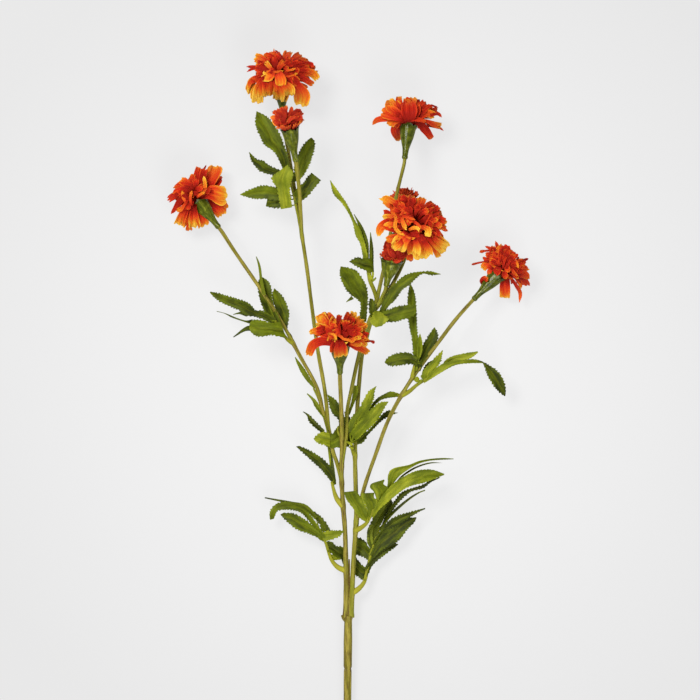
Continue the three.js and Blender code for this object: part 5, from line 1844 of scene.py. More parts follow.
            (250.5, 323.5), (249.8, 326)), (41, 41), (0.3, 0.5)),
        Blade(0.85, ((254, 325), (246, 322.8), (240, 320.2), (232, 317.5), (225, 313.8), (217.5, 311.7)),
            ((253, 319.6), (246, 320.6), (240, 319), (232, 315.8), (225, 313.2), (217.5, 311.3)), (35, 29),
            (0.06, 0.35), teeth=0.1),
        Blade(0.72, ((253, 331), (246, 331), (241, 333.5), (234.3, 337.4)), ((253, 325), (246, 327),
            (240.5, 331.5), (234, 336.9)), (35, 32), (0.06, 0.1), teeth=0.1),
        Blade(1, ((272, 325), (267, 316), (263, 308), (260.5, 300), (259, 294), (259, 288), (259, 281.5),
            (262.3, 277.4)), ((281, 322), (277, 312), (274, 303), (272.5, 294), (271, 287), (268, 281.5),
            (262.9, 277.2)), (24.5, 20.5), (0.12, 0.3), rib=0.6),
        Blade(1, ((262.5, 295), (260.5, 285), (260, 278), (258.7, 268), (257.5, 262), (256.1, 257)),
            ((266.5, 295), (264, 283), (262.2, 277), (261.2, 268), (259.5, 262), (256.7, 257)), (23, 21),
            (0.6, 0.35), back=0.5, teeth=0.15),
    ), stout=1.2),
    Sprig("left_back", "left", ((291.75, 341.25, 30), (291, 336, 26.5), (287.5, 331, 25.4)), 0.0, (
        Blade(0.95, ((284, 329), (279, 317), (276.5, 308), (274, 302), (272.3, 296), (274.3, 289)),
            ((287.5, 330), (288.5, 324), (289.6, 318), (289.4, 311), (287.6, 306), (285, 300.5),
            (282.5, 296), (279, 292.5), (274.8, 288.7)), (24, 23), (0.1, 0.32)),
    )),
)

# How much more golden the laid petals of these blooms are than LOBES says
LOBE_GOLD = {"bloom_left": -0.1, "bloom_right": 0.04, "bloom_front": 0.05}
LOBES: dict[str, Sequence[Lobe]] = {
    "bloom_top_left": (
        # Drooping golden row, from the left
        Lobe(((260, 80, 6), (252.5, 84, 8), (250.5, 95.8, 6.5)), (2, 2), (-0.2, 1.2)),
        Lobe(((266, 81, 8), (260, 91, 12), (257.5, 105, 11)), (4, 4), (-0.3, 1.8), BROAD),
        Lobe(((259, 87, 4), (255, 93, 7.5), (254.5, 101, 7)), (4, 7), (-0.1, 1.5), BROAD),
        Lobe(((265, 86, 5), (262.5, 92, 8), (264, 99.5, 8)), (5, 7), (-0.3, 1.4), BROAD),
        Lobe(((267, 81, 8), (268, 90, 11), (268.5, 99, 9.5)), (4, 5), (-0.5, 1.1), BROAD),
        Lobe(((274, 80, 7), (274.4, 88, 9), (273, 98, 7.5)), (3, 3), (-0.6, 0.9), BROAD),
        Lobe(((254, 83, 4), (249.5, 87, 5), (247.6, 93, 4)), (4, 5), (0.1, 1.1), POINTED),
        Lobe(((279, 82, 8), (280, 92, 12), (278.6, 103, 11)), (5, 6), (-0.4, 1.5), BROAD),
        Lobe(((279, 76, 8), (281, 82, 11.5), (281.5, 89.5, 10)), (8, 8), (-0.3, 0.9), BROAD),
        Lobe(((285, 79, 8), (288, 87, 11), (289.5, 93, 9)), (4, 5), (-0.9, 0.2), BROAD),
        Lobe(((286, 90, 5), (286, 97, 7), (284, 103, 6)), (5, 6), (0, 1.3), BROAD),
        Lobe(((285, 86, 7), (290, 91, 10.5), (290, 98.6, 10)), (8, 9), (0.1, 1.6), BROAD),
        Lobe(((291, 81, 8), (297, 88, 11), (302, 96, 17), (300.5, 108, 13)), (3, 3), (-0.35, 1.0), BROAD),
        Lobe(((286, 80, 10), (293, 82, 10), (299, 86, 9)), (4, 3), (-0.5, -0.1)),
        # Left side
        Lobe(((275, 72, 5), (270, 78, 11), (262, 77.5, 10)), (5, 3), (-0.4, 1.4), BROAD),
        Lobe(((274, 73, 2.6), (270, 68.5, 4.6), (265.5, 63, 5)), (5, 4), (0, 0.9), POINTED),
        Lobe(((274, 75, 4), (264, 71, 5), (254, 69, 3.4), (246.5, 68.3, 1.6)), (5, 2), (-0.8, -0.1), STRAND),
        Lobe(((270, 73, 4), (261, 70.6, 4), (253, 70.5, 2.6), (247, 74, 1.5)), (4, 1), (-0.7, -0.2), STRAND),
        Lobe(((268, 67, 7), (261, 61, 10), (255, 58.5, 8)), (2, 0), (-0.4, 0.6)),
        Lobe(((268, 70, 6), (261, 66, 6), (256, 64.5, 5)), (2, 0), (-0.6, 0.4)),
        # Top
        Lobe(((276, 69, 8), (271, 60, 12), (269.5, 54, 11.5)), (0, -2), (-0.6, 0.2)),
        Lobe(((281, 68, 5), (277, 61, 6), (275, 55, 6)), (0, -2), (-0.5, 0.3)),
        Lobe(((284, 63, 2), (280, 55.5, 1.8), (275, 51, 1.3)), (2, 2), (-1.1, -0.9), STRAND),
        Lobe(((287, 69, 7), (287, 59, 9), (289.5, 52, 8)), (0, -2), (-0.5, 0.15)),
        Lobe(((291, 67, 8), (298, 60, 11), (303, 56.5, 9)), (1, -1), (-0.5, 0.3)),
        Lobe(((294, 69, 7), (303, 63.5, 8), (310, 64.5, 7)), (1, 0), (-0.5, 0.2)),
        # Right side
        Lobe(((295, 71, 5), (306, 68.5, 5), (316.5, 69.5, 3.6)), (2, 1), (-0.8, -0.2)),
        Lobe(((296, 74, 6), (306, 74, 8), (313, 75.5, 8), (318, 81.5, 6.5)), (1, 0), (-0.6, 0.8)),
        Lobe(((296, 77, 6), (305, 81.5, 6), (314, 86.5, 5.5)), (0, -1), (-0.4, 0.5)),
        Lobe(((312, 74, 3), (316, 73.2, 1.8), (318.5, 71.8, 1)), (0, 0), (-0.3, 0.1), STRAND),
        # Ridges round the hollow heart
        Lobe(((274, 75, 2), (280, 74.2, 2.8), (285, 73, 2)), (5, 5), (0.2, 0.9), STRAND),
        Lobe(((286, 73.6, 1.6), (291, 72.6, 2.6), (297, 70.5, 1.8)), (5, 5), (-0.2, 0.6), STRAND),
        Lobe(((283, 77.6, 2), (288, 78.6, 2.6), (293, 77, 2.8), (299, 75.5, 3.4)), (6, 4), (-0.1, 1),
            STRAND),
        Lobe(((284, 76.5, 2.2), (290, 76, 2.4), (297, 73.6, 1.6)), (6.3, 5), (-1.2, -1), STRAND),
        Lobe(((280, 71, 3), (286, 65, 3.4), (291, 60, 3)), (3, 2), (-0.2, 0.3), STRAND),
        Lobe(((279, 71, 3), (281, 65.5, 4), (285, 61, 3.4)), (3, 2), (-0.3, 0.2), STRAND),
        Lobe(((273, 71, 3), (268, 63, 2.6), (265, 57.5, 2)), (2, 1), (-1.1, -0.9), STRAND),
    ),
    "bloom_left": (
        Lobe(((207, 192, 9), (211, 180, 13), (215, 171, 15), (216.5, 164.6, 12)), (-12, -6), (-0.4, 0.55),
            BROAD),
        Lobe(((208, 191, 9), (215, 183, 12), (223.3, 177, 5)), (-14, -8), (-0.6, 0.1), POINTED),
        Lobe(((203, 196, 7), (212, 194, 15), (221, 196.5, 20), (229, 197.5, 16)), (-10, -2), (-0.3, 1.2),
            BROAD),
        Lobe(((213, 204, 7), (219, 209.5, 13), (224, 215.5, 13)), (-15, -8), (-0.6, 1.1)),
        Lobe(((224, 203, 4), (226.5, 206, 5), (228.7, 208.3, 2)), (-6, -6), (-0.1, 0.7), POINTED),
        Lobe(((202.5, 195.5, 1.8), (206, 190, 2.8), (205.6, 183, 3.6), (204.3, 176.6, 2.2)), (-5, -5),
            (0.3, 1.1), POINTED),
        Lobe(((198.5, 197.5, 2), (202, 195, 3), (206, 193, 2.6)), (-4, -4), (0.3, 0.9), STRAND),
        Lobe(((201, 189, 5), (203, 179, 6), (205.5, 169.5, 7)), (-8, -4), (-0.8, -0.1)),
        Lobe(((204, 172, 3), (205.4, 168, 1.6), (206.8, 165.3, 0.9)), (-6, -5), (-1, -1), STRAND),
        Lobe(((198, 187, 6), (197.5, 176, 6.5), (200, 167.3, 6)), (-8, -4), (-0.6, 0.4)),
        Lobe(((195, 188, 6), (193, 181, 6), (193.7, 174.5, 4.5)), (-8, -5), (-0.7, 0.5)),
        Lobe(((193, 188, 4), (190.5, 182, 3.5), (190.3, 178, 2.5)), (-8, -6), (-1, -0.5), POINTED),
        Lobe(((193, 189, 7), (186, 184, 9), (181.5, 180.2, 8)), (-7, -4), (-0.7, 0.45)),
        Lobe(((192, 190, 8), (182, 187, 9), (174, 189, 5)), (-6, -3), (-0.8, 0.15), POINTED),
        Lobe(((189, 191, 8), (180, 193, 10), (173.5, 196.5, 6)), (-5, -2), (-0.8, 0.1)),
        Lobe(((178, 194, 4), (172, 196.5, 3.4), (167.3, 198.5, 1.3)), (-3, -2), (-0.6, -0.1), STRAND),
        Lobe(((178, 196.5, 3.6), (172.5, 199, 3), (167.8, 201, 1.3)), (-3, -2), (-0.5, 0.1), STRAND),
        Lobe(((178, 198, 3), (173.3, 200.6, 2), (169.2, 203, 1)), (-3, -2), (-0.5, 0), STRAND),
        Lobe(((188, 197, 6), (180.5, 202.5, 6), (176, 209, 4.6), (171, 214.8, 1.2)), (-4, -2), (-0.9, -0.3),
            STRAND),
        Lobe(((180, 203, 3), (176.5, 209.5, 3.4), (174.3, 214, 1.2)), (-4, -2), (-0.8, -0.2), STRAND),
        Lobe(((188.5, 201.5, 2), (185, 206, 3), (181.5, 210, 5), (176.5, 211, 4)), (-3, -3), (0.1, 1),
            STRAND),
        Lobe(((187.5, 204, 2), (184.2, 198, 3.6), (183, 191.5, 3)), (-3, -3), (0.2, 0.8), STRAND),
        Lobe(((192.5, 206, 2), (191.2, 198.5, 2.6), (193, 191, 3.4)), (-3, -3), (0.1, 0.8), STRAND),
        Lobe(((190, 206, 4), (184.5, 214.5, 9), (179, 226.5, 10)), (-8, -4), (-1, 1.15)),
        Lobe(((192, 206.5, 4), (188.5, 217, 9), (187, 228.3, 11)), (-9, -5), (-1, 1.3)),
        Lobe(((195, 207, 5), (194.5, 217, 10), (195.5, 229, 13)), (-10, -6), (-0.9, 1.4)),
        Lobe(((199, 208.5, 6), (202, 218, 12), (205.3, 227.8, 12)), (-14, -8), (-0.9, 1)),
        Lobe(((189.5, 225.5, 4), (189.5, 228.5, 7), (189.8, 231, 6)), (-4, -4), (0.2, 0.9), BROAD),
    ),
    "bloom_top_right": (
        Lobe(((402, 119, 8), (394, 109, 16), (390, 98.6, 8)), (-7, -5), (-0.5, 0.9), POINTED),
        Lobe(((403, 120, 9), (392, 115, 15), (380.5, 112.5, 12)), (-6, -4), (-0.2, 0.3), BROAD),
        Lobe(((398, 120.5, 5), (385, 119.8, 6), (377, 121, 5.5), (371.7, 126, 1.5)), (-6, -3), (-0.1, 0.45),
            STRAND),
        Lobe(((400, 120, 7), (392, 123, 9), (389.3, 128.3, 7)), (-7, -4), (-0.2, 0.6)),
        Lobe(((403, 123, 6), (396.5, 130, 11), (399.5, 142, 4.5)), (-14, -8), (-0.3, 0.3)),
        Lobe(((401, 110, 6), (399, 104, 7), (398.7, 97.8, 4.5)), (-6, -6), (-0.3, 0.6)),
        Lobe(((405, 109, 6), (406, 103, 7), (406.5, 99.6, 5.5)), (-6, -6), (-0.3, 0.9)),
        Lobe(((411, 109, 8), (412, 102.5, 9), (412.3, 98.4, 7.5)), (-6, -6), (-0.3, 0.6)),
        Lobe(((415, 109, 6), (417, 104, 6.5), (418, 100.8, 4.5)), (-6, -6), (-0.3, 0.4)),
        Lobe(((417.5, 103, 2), (419, 101.5, 1.8), (420, 101, 1.6)), (-5, -5), (-1, -1), STRAND),
        Lobe(((408.5, 122, 10), (408.5, 114, 16), (408.5, 104, 14.5)), (-4, -3), (-0.9, -0.2), BROAD),
        Lobe(((399, 117, 4), (391, 111, 6), (387, 103.5, 5)), (-5, -4), (-0.6, 0.8), POINTED),
        Lobe(((413, 120, 5), (417, 113, 6), (417.5, 105.5, 4)), (-5, -5), (-0.6, 0.1)),
        Lobe(((416, 118, 6), (421, 110, 11), (427.5, 103.6, 11)), (-7, -5), (-0.6, 0.1)),
        Lobe(((424, 113, 5), (429, 109, 7), (433, 110.5, 3)), (-6, -5), (-0.7, 0), POINTED),
        Lobe(((430, 107, 2), (434, 107.6, 1.7), (438, 108.6, 1.3)), (-4, -4), (-1, -1), STRAND),
        Lobe(((419, 118.5, 5), (427, 115, 7.5), (434.5, 117.3, 8)), (-6, -4), (-0.2, 0.85)),
        Lobe(((432, 116.5, 3), (437.5, 115.3, 4), (441.8, 118.7, 1.3)), (-3, -3), (-0.3, 0.1), STRAND),
        Lobe(((416, 121, 3), (426, 122.8, 3), (434, 125.4, 6), (441.5, 127, 5.5)), (-5, -3), (-0.4, 0.4)),
        Lobe(((437, 128, 3), (440.5, 129.6, 2), (443.5, 131.7, 1)), (-3, -3), (-0.6, -0.4), STRAND),
        Lobe(((417, 123, 6), (423.5, 129.5, 9), (432, 140, 5)), (-13, -7), (-0.5, 0)),
        Lobe(((411, 121.5, 4), (418, 121.3, 4.4), (426, 123, 3.6)), (-4, -3), (-0.4, 0.2), STRAND),
    ),
    "bloom_middle": (
        Lobe(((398, 213, 6), (391, 205.5, 11), (385, 201.5, 9), (378, 199.8, 2)), (0, -1), (0.1, 1.3),
            POINTED),
        Lobe(((394, 221, 6), (387.5, 215.5, 7), (383, 211, 3)), (0, -1), (-0.8, -0.4), POINTED),
        Lobe(((402, 231, 10), (393, 226, 16), (383, 220.5, 14)), (1, 1), (-0.8, 0.35), BROAD),
        Lobe(((390, 224, 8), (381, 228, 9), (377.6, 238, 6)), (3, 3), (-0.1, 1.1), POINTED),
        Lobe(((394, 220, 5), (387, 218, 5), (382, 219, 4)), (4, 3), (0.2, 1.3), BROAD),
        Lobe(((394, 226, 5), (388, 227, 7), (383, 230.5, 6)), (4, 4), (0, 1.3), BROAD),
        Lobe(((403, 222, 9), (398, 212, 11), (395, 203, 10)), (2, 0), (-0.5, 0.4)),
        Lobe(((405, 212, 9), (403, 203, 11), (403.5, 196.5, 10)), (1, -1), (-0.5, 0.6)),
        Lobe(((412, 211, 9), (412.5, 203, 11), (413.5, 197.5, 9)), (1, -1), (-0.8, 0.5)),
        Lobe(((417, 212, 7), (420, 204, 9), (422.5, 199, 6)), (1, -1), (-0.6, 0.5)),
        Lobe(((423, 215, 8), (428, 209, 10), (433.5, 205, 7)), (1, -1), (-0.5, 0.2)),
        Lobe(((427, 220, 7), (434, 215.5, 10), (440.5, 212, 7)), (1, -1), (-1, 0.3)),
        Lobe(((428, 224, 7), (437, 220, 8), (442.5, 218, 6)), (1, -1), (-0.7, 0.4)),
        Lobe(((428, 229, 8), (438, 225.5, 12), (446, 226.5, 10)), (1, 0), (-0.8, 0.9), BROAD),
        Lobe(((440, 229, 5), (444, 231, 3.4), (447.5, 232.2, 1.3)), (1, 0), (0.1, 0.3), STRAND),
        Lobe(((430, 232, 4), (438, 233.5, 2.4), (443, 240, 1.8)), (2, 1), (-0.4, 0.2), STRAND),
        Lobe(((430, 235, 5), (436, 237, 3), (440, 241.5, 2)), (2, 1), (-0.4, 0.2), STRAND),
        Lobe(((427, 237, 9), (436, 243, 14), (446, 251, 14)), (3, 3), (-0.7, 1.5), BROAD),
        Lobe(((432, 239, 4), (439, 244, 6), (446.5, 248, 6)), (5, 5), (-0.4, 1.5), BROAD),
        Lobe(((428, 242, 5), (433, 249, 6), (438, 258.6, 5)), (3, 2), (-0.3, 1.1)),
        Lobe(((417, 239, 11), (420, 249, 19), (421.5, 261, 16)), (4, 5), (-0.4, 1.7), BROAD),
        Lobe(((415, 243, 5), (416, 249, 8), (415, 257, 8)), (6, 7), (-0.2, 1.5), BROAD),
        Lobe(((423, 243, 5), (427, 250, 8), (428, 257, 8)), (6, 7), (-0.4, 1.5), BROAD),
        Lobe(((412, 241, 6), (410, 248, 8), (410.5, 256, 7)), (4, 4), (-0.3, 1.2), BROAD),
        Lobe(((411, 252, 4), (409.5, 258, 7), (409.5, 262, 6)), (1, 0), (-0.5, 0.5)),
        Lobe(((407, 236, 11), (400, 243.5, 17), (396, 252.5, 14)), (4, 5), (-0.3, 1.6), BROAD),
        Lobe(((401, 243, 5), (397, 247, 7), (392, 250.5, 6)), (6, 7), (-0.1, 1.5), BROAD),
        Lobe(((400, 238, 8), (391, 240, 8), (385, 240.5, 5)), (3, 3), (-0.3, 0.5)),
        Lobe(((390.5, 206, 3), (392, 214, 3.6), (395.6, 220.5, 3.2), (394.3, 228, 3.8), (398, 234, 3.6),
            (406, 237.3, 2.6)), (4, 5), (0.5, 1), STRAND),
        Lobe(((401, 218, 2.4), (401.6, 223, 3.6), (403.5, 228, 4.4), (405.5, 232, 2.6)), (5, 6), (0.1, 0.9),
            POINTED),
        Lobe(((400, 218, 2.4), (407, 219.6, 3), (415, 222, 2.6)), (4, 5), (-0.1, 0.4), STRAND),
        Lobe(((397, 208, 3), (401, 212, 3.4), (405, 216, 2.6)), (3, 4), (-0.1, 0.3), STRAND),
        Lobe(((421, 229, 4), (427, 231, 6.4), (426, 239, 7)), (6, 6), (0, 1.2), BROAD),
        Lobe(((409, 231.5, 2.6), (413, 229.2, 3.6), (417.5, 230.6, 3.2), (417.6, 234.5, 2)), (6, 6),
            (0.6, 1.2), STRAND),
        Lobe(((405, 237.5, 2.4), (410, 239.8, 2.6), (415, 239.5, 2)), (6, 6), (0.1, 0.7), STRAND),
        Lobe(((414, 224, 3), (418, 227.5, 3), (421, 231, 2.4)), (5, 5.5), (-0.1, 0.5), STRAND),
        Lobe(((421, 231, 1.8), (426.5, 222.5, 1.6), (432, 212.5, 1.4)), (5, 4), (-0.1, 0.2), STRAND),
        Lobe(((410, 236, 5), (414, 236.5, 6), (419, 239, 3)), (4, 4), (-1.1, -0.8)),
    ),
    "bloom_right": (
        Lobe(((492, 252.3, 2), (484.5, 251, 2), (478.6, 252.6, 4.2)), (-5, -4), (-0.6, 0), STRAND),
        Lobe(((490, 261.6, 2), (481, 262.2, 1.7), (470.5, 264.7, 2.4)), (-5, -4), (-0.4, 0), STRAND),
        Lobe(((495, 251.5, 4), (489.5, 249, 3.4), (484.3, 246.2, 1.2)), (-6, -5), (-0.5, 0.2), STRAND),
        Lobe(((491, 262, 4.5), (485.5, 260, 4.4), (481.8, 256.8, 1.4)), (-7, -5), (-0.4, 0.2), STRAND),
        Lobe(((492, 267, 6), (486.5, 265.5, 8), (481.5, 269.5, 7)), (-9, -6), (-0.3, 0.65)),
        Lobe(((491, 269, 4), (488.5, 272, 5), (487, 275.5, 3)), (-9, -7), (-0.1, 0.7), POINTED),
        Lobe(((499, 263, 5), (498, 252, 5.5), (495, 241.3, 1.6)), (-6, -5), (-0.7, 0), POINTED),
        Lobe(((494, 263, 6), (492, 254, 7), (493, 246.3, 5)), (-6, -5), (-0.6, 0.25)),
        Lobe(((500, 262, 6), (501, 252, 8), (503, 245.8, 9)), (-5, -5), (-0.5, 0.4)),
        Lobe(((505, 262, 5), (508, 256, 4.4), (511.3, 250, 3)), (-5, -5), (-0.6, 0.1)),
        Lobe(((507, 265, 7), (511, 258, 7), (514.3, 253.6, 4.4)), (-5, -5), (-0.7, 0.1)),
        Lobe(((512, 270, 7), (517.5, 264, 9), (521.5, 258.6, 9)), (-5, -5), (-0.7, 0)),
        Lobe(((522, 261, 3.4), (525, 260, 2.8), (528.4, 259, 1.6)), (-4, -4), (-0.8, -0.5), STRAND),
        Lobe(((514.5, 272, 7), (521, 269, 8), (529, 270.3, 3)), (-4, -4), (-0.7, 0.1), POINTED),
        Lobe(((515, 274, 7), (523, 274.6, 8), (529.6, 279.3, 3)), (-4, -4), (-0.8, 0.1), POINTED),
        Lobe(((516, 275, 5), (525, 280.5, 4.6), (530.3, 286.3, 1.8)), (-5, -4), (-0.7, 0.1), STRAND),
        Lobe(((516, 276, 5), (522.5, 281.5, 5), (527, 286.2, 2.4)), (-5, -4), (-0.8, 0), STRAND),
        Lobe(((515, 277, 5), (520.5, 281.5, 4.4), (524, 285.8, 2)), (-5, -4), (-0.8, -0.1), STRAND),
        Lobe(((513, 276, 4.4), (518.5, 282, 5), (520.8, 289.3, 1.6)), (-5, -4), (-0.4, 0.5), STRAND),
        Lobe(((504, 277, 9), (504.4, 287, 10.5), (504.5, 299.5, 10)), (-15, -6), (-0.7, 0.9), BROAD),
        Lobe(((502, 272, 1.8), (510, 279, 2.8), (516, 287, 3.6), (519.8, 294.5, 3.8), (519, 303.5, 1.4)),
            (-4, -3), (-0.6, 0.1), STRAND),
        Lobe(((491, 251, 1.4), (489.3, 257, 2), (490.3, 263, 2.2), (495.5, 268.8, 2.2), (503, 272, 2.2)),
            (-3, -3), (-0.1, 0.3), STRAND),
        Lobe(((513.5, 259.5, 1.4), (516.5, 264, 2.4), (517.8, 269.5, 1.8)), (-2, -2), (0.3, 0.9), STRAND),
        Lobe(((510.5, 269.5, 2.4), (513.5, 274.5, 4), (517.5, 279.5, 3)), (-2, -2), (-0.2, 0.5), POINTED),
        Lobe(((502, 268, 2), (504, 260.5, 2.6), (507, 253.5, 1.8)), (-3, -3), (-0.6, 0.1), STRAND),
        Lobe(((505.5, 268.5, 2), (509, 262, 2.4), (513, 257, 1.6)), (-3, -3), (-0.6, 0.1), STRAND),
        Lobe(((498, 265, 3), (495.8, 257.5, 3.6), (496, 250, 3)), (-3, -3), (-0.2, 0.4), STRAND),
        Lobe(((507, 270, 7), (504, 262, 8), (502, 255, 7)), (-5, -5), (-1, -0.3)),
        Lobe(((511, 271, 7), (514, 268, 8), (521, 272, 7)), (-4, -4), (-0.9, -0.2)),
        Lobe(((485, 285.5, 4), (482.5, 281.5, 7), (486, 278, 6.5)), (-2, 3), (-1.3, -0.1), BROAD),
    ),
    "bloom_front": (
        Lobe(((335, 343, 7), (324, 341, 8.5), (314, 345, 9.5), (309, 355.8, 7)), (5, 6), (-0.6, 0.25)),
        Lobe(((332, 336, 7), (322, 333, 7.5), (315, 331.3, 6), (309.5, 333, 3.6)), (2, 2), (-0.5, 0.7)),
        Lobe(((332, 331, 6), (323, 327.3, 6.5), (315.5, 326, 6.5)), (2, 1), (-0.2, 0.95)),
        Lobe(((333, 330, 7), (324, 321.5, 12), (320, 313.6, 10)), (2, 2), (-0.4, 1.3)),
        Lobe(((326, 319, 4), (322, 316, 5), (316, 320, 4)), (2, 1), (0.3, 1.1)),
        Lobe(((338, 327, 4), (333, 318.5, 4.4), (327.5, 312.3, 3.6)), (1, 0), (-0.5, 0.5), STRAND),
        Lobe(((327, 316, 3), (325, 313.5, 3), (322, 313, 2.6)), (1, 1), (0.1, 0.7), STRAND),
        Lobe(((337, 331, 9), (335, 324, 12), (337.5, 318, 9.5)), (3, 2), (-0.7, 1)),
        Lobe(((336, 327, 3), (334.5, 324, 3.4), (337, 320.5, 3)), (5, 4), (0.2, 0.8), STRAND),
        Lobe(((346, 330, 6), (346.5, 320.5, 6.5), (348.6, 312, 3.4)), (1, 0), (-0.7, 0.1), POINTED),
        Lobe(((350, 329, 5), (353, 320.5, 6), (354, 311.8, 6.5)), (1, 0), (-0.3, 1.05)),
        Lobe(((351, 332, 8), (358, 324, 12), (364, 319.6, 11)), (2, 2), (-0.7, 1.1), BROAD),
        Lobe(((360, 328, 5), (364, 327, 7), (367, 329, 6)), (3, 1), (0, 0.8)),
        Lobe(((357, 332.5, 4), (362.5, 332.3, 5), (366, 335.5, 4)), (2, 0), (-0.5, 0.1)),
        Lobe(((351, 338.5, 6), (359, 338.5, 10), (368.5, 344.5, 9)), (3, 3), (-0.6, 1)),
        Lobe(((350, 343, 7), (357, 346.5, 9), (364, 350, 7), (368.8, 353.8, 5.6)), (4, 4), (-0.3, 0.4)),
        Lobe(((352, 344, 4), (357, 344.5, 5), (363, 344, 4)), (6, 5), (0.3, 1), STRAND),
        Lobe(((352, 340, 4), (357, 338, 4.6), (362, 338, 4)), (6, 5), (0.2, 0.9), STRAND),
        Lobe(((366, 341.3, 1.7), (370.5, 341.4, 2), (375.3, 343.4, 4.4)), (3, 3), (-0.7, -0.2), STRAND),
        Lobe(((340, 342, 8), (340.5, 348, 14), (341, 357.6, 13.5)), (9, 13), (-0.9, 1), BROAD),
        Lobe(((336, 343, 7), (333.5, 347, 7), (333, 352.5, 6)), (8, 10), (-0.7, 0.35)),
        Lobe(((329, 334, 1.8), (334.5, 335, 2.4), (336.2, 338, 2.2), (335.4, 341.5, 2.6),
            (338.5, 344.3, 3.2), (344.5, 343.6, 2.4), (349, 342, 2)), (6, 8), (0.6, 1.2), STRAND),
        Lobe(((338, 335, 2.4), (341, 336.6, 3), (344, 339.4, 2.6), (348.5, 340.2, 2.8), (352, 342, 2.2),
            (357, 338, 2)), (6, 7), (0.2, 0.8), STRAND),
        Lobe(((344, 336, 7), (346.5, 331.5, 8), (349, 325, 7)), (1, 0), (-1, -0.4)),
        Lobe(((333, 336, 5), (329, 331.5, 5), (325.5, 327.5, 4)), (3, 2), (-0.8, -0.3)),
    ),
    "bud_top_left": (
        Lobe(((287, 128, 3), (284, 129.3, 4), (281, 130.3, 2.4)), (1, 0), (-0.2, 0.8), POINTED),
        Lobe(((289, 128.5, 3.4), (288.5, 130, 5), (287.5, 131.8, 3.6)), (1, 0), (-0.5, 0.3), POINTED),
        Lobe(((291, 127, 3), (295, 127.5, 4.4), (299, 127, 2.4)), (1, 0), (-0.6, 0.1), POINTED),
        Lobe(((291, 128, 3), (293, 129.5, 4), (294.5, 130.8, 2.4)), (1, 0), (-0.5, 0.4), POINTED),
        Lobe(((286, 127, 5), (284.5, 118, 6), (287.5, 107.3, 3.4)), (2, 0), (-0.4, 0.6), POINTED),
        Lobe(((289, 126, 5), (291, 117, 5), (292.6, 109, 2.6)), (2, 0), (-0.5, 0.3), POINTED),
        Lobe(((290, 126, 5), (295, 118, 5.6), (298.3, 110.6, 2.4)), (2, 0), (-0.6, 0.2), POINTED),
        Lobe(((291, 126, 5), (298, 118.5, 6), (303, 114, 5)), (2, 0), (-0.6, 0.1)),
        Lobe(((292, 127, 5), (297.5, 121.5, 5), (302, 117.7, 3)), (2, 0), (-0.6, 0.2), POINTED),
        Lobe(((283, 126, 5), (279, 118, 6), (277, 112, 3.6)), (2, 0), (-0.3, 0.7), POINTED),
        Lobe(((281, 120, 2), (277, 116.5, 1.6), (272.6, 114, 1)), (1, 0), (-1, -1), STRAND),
        Lobe(((281, 127, 5), (276, 121, 6), (270.8, 119.3, 2.6)), (2, 0), (0, 1.2), POINTED),
        Lobe(((281, 128, 4), (276, 125.5, 5), (272.5, 122.5, 3.4)), (2, 1), (0.2, 1.3), POINTED),
        Lobe(((288, 126.5, 3), (291.5, 122, 4), (297, 119, 3)), (4, 3), (-0.2, 0.3), STRAND),
        Lobe(((284, 125, 4), (285.5, 119, 4), (283, 113, 3)), (4, 3), (-0.8, -0.2)),
    ),
    "bud_middle": (
        Lobe(((393, 258, 5), (388, 253, 6), (385, 245, 5)), (3, 1), (-1.1, -0.1)),
        Lobe(((395, 259, 4), (391, 255, 5), (388.5, 248, 4.4)), (4, 3), (-1.1, 0.2)),
        Lobe(((385, 247, 2.4), (387, 242.5, 3.4), (391, 243, 3)), (3, 3), (-0.3, 0.3), STRAND),
        Lobe(((392, 259, 5), (386.5, 258, 5), (382.5, 251, 4)), (4, 2), (-0.7, 0)),
        Lobe(((386, 256.5, 3), (390.5, 260.6, 4), (397, 262, 4.4), (402, 258, 3)), (6, 5), (-0.6, 0.1),
            STRAND),
        Lobe(((397, 257, 5), (400, 253, 6), (404, 250, 5)), (3, 2), (-1.1, 0)),
        Lobe(((399, 259, 4), (403, 256, 5), (408, 255.5, 4)), (3, 3), (-1.1, 0.1)),
        Lobe(((399, 258, 4), (405, 256.5, 4.4), (412, 261.3, 4.6)), (5, 4), (-0.6, 0.4)),
        Lobe(((395, 257, 5), (396, 251, 6), (397, 246, 5)), (2, 1), (-1.2, -0.4)),
    ),
    "bud_back": (),
}

# Table, light and camera


@dataclass
class Softbox:
    """A large square light."""

    name: str
    place: Triple
    size: float
    power: float
    colour: Colour = (1.0, 1.0, 1.0)

    def build(self, target: np.ndarray) -> None:
        """Hangs the light so that it faces a place, both in metres."""
        lamp = bpy.data.lights.new(self.name, "AREA")
        lamp.shape, lamp.size = "SQUARE", self.size
        lamp.energy, lamp.color = self.power, self.colour
        item = bpy.data.objects.new(self.name, lamp)
        item.location = self.place
        item.rotation_mode = "QUATERNION"
        aim = target - np.array(self.place)
        item.rotation_quaternion = Vector(aim).to_track_quat("-Z", "Y")
        bpy.context.scene.collection.objects.link(item)


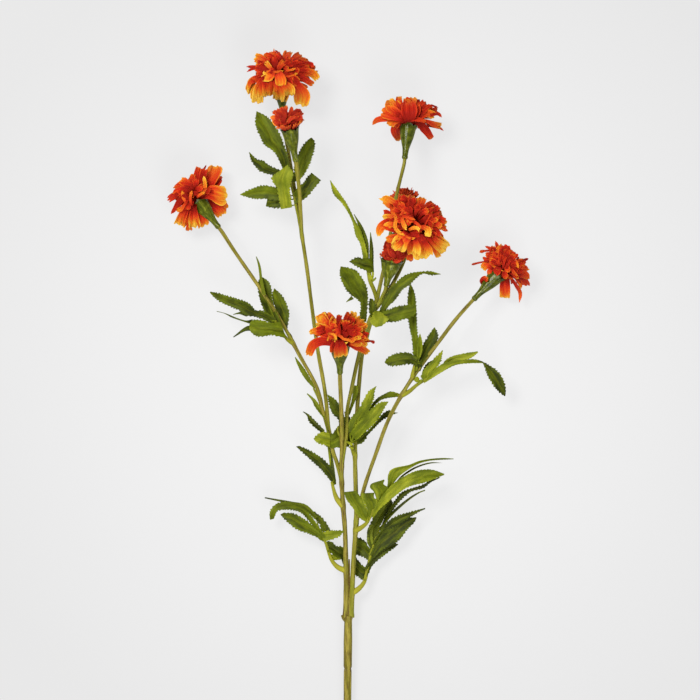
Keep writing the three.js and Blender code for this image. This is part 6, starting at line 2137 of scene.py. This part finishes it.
@dataclass
class Studio:
    """The pale table, the soft light over it and the camera that looks straight down."""

    middle: tuple[float, float] = (0.0, 280.0)
    view_height: float = 6.0
    view_width: float = 0.56
    sensor: float = 36.0
    table: float = 16.0
    sky: float = 0.3
    lights: Sequence[Softbox] = (
        Softbox("key", (-0.95, 1.0, 2.15), 0.9, 64.0, (1.0, 0.985, 0.96)),
        Softbox("fill", (0.7, -1.5, 2.0), 1.4, 42.0, (1.0, 0.99, 0.98)),
    )

    def build(self) -> None:
        """Sets up the whole studio."""
        target = np.array([self.middle[0] + SHIFT[0], self.middle[1] + SHIFT[1], 0]) * MM
        self._table()
        self._sky()
        for light in self.lights:
            light.build(target)
        self._camera(target)

    def _table(self) -> None:
        """Lays the pale table top under the spray."""
        half, steps = self.table / 2, 13
        across = np.linspace(-half, half, steps)
        grid = np.stack([*np.meshgrid(across, across), np.zeros((steps, steps))], axis=-1).reshape(-1, 3)
        mesh = bpy.data.meshes.new("table_top")
        mesh.from_pydata(grid.tolist(), [], grid_faces(steps, steps))
        mesh.materials.append(FLOOR_FINISH.material())
        item = bpy.data.objects.new("table_top", mesh)
        bpy.context.scene.collection.objects.link(item)

    def _sky(self) -> None:
        """Surrounds the table with even white light."""
        world = bpy.data.worlds.new("soft_room")
        world.use_nodes = True
        back = world.node_tree.nodes["Background"]
        back.inputs["Color"].default_value = (1, 1, 1, 1)
        back.inputs["Strength"].default_value = self.sky
        bpy.context.scene.world = world

    def _camera(self, target: np.ndarray) -> None:
        """Hangs the camera over the middle of the picture."""
        eye = bpy.data.cameras.new("overhead")
        eye.sensor_width = self.sensor
        eye.lens = self.sensor * self.view_height / self.view_width
        eye.clip_end = 50
        item = bpy.data.objects.new("overhead", eye)
        item.location = (target[0], target[1], self.view_height)
        bpy.context.scene.collection.objects.link(item)
        bpy.context.scene.camera = item


class Spray:
    """The whole marigold spray."""

    def build(self) -> None:
        """Makes every piece, from the cut end up."""
        stem, leaf = STEM_FINISH.material(), LEAF_FINISH.material()
        calyx, silk = CALYX_FINISH.material(), PETAL_FINISH.material()
        tuft, floret = BUD_FINISH.material(), HEART_FINISH.material()
        CutStem().build(stem)
        for branch in BRANCHES:
            branch.joints += [sprig.foot for sprig in SPRIGS if sprig.off == branch.name]
            branch.joints += [other.at[0] for other in BRANCHES if other.off == branch.name]
            if branch.twig:
                branch.joints.append(branch.twig[1][0])
            branch.build(stem)
        for sprig in SPRIGS:
            sprig.build(leaf)
        for head in BLOOM_HEADS.values():
            Calyx(head).build(calyx)
            Bloom(head).build(silk, floret)
        for head in BUD_HEADS.values():
            Calyx(head, "bud_calyx").build(calyx)
            Bud(head).build(tuft, floret)


def main() -> None:
    """Builds the studio and the spray."""
    logging.basicConfig(level=logging.INFO, format="%(name)s: %(message)s")
    bpy.context.scene.view_settings.view_transform = "Standard"
    Studio().build()
    Spray().build()


if __name__ == "__main__":
    main()
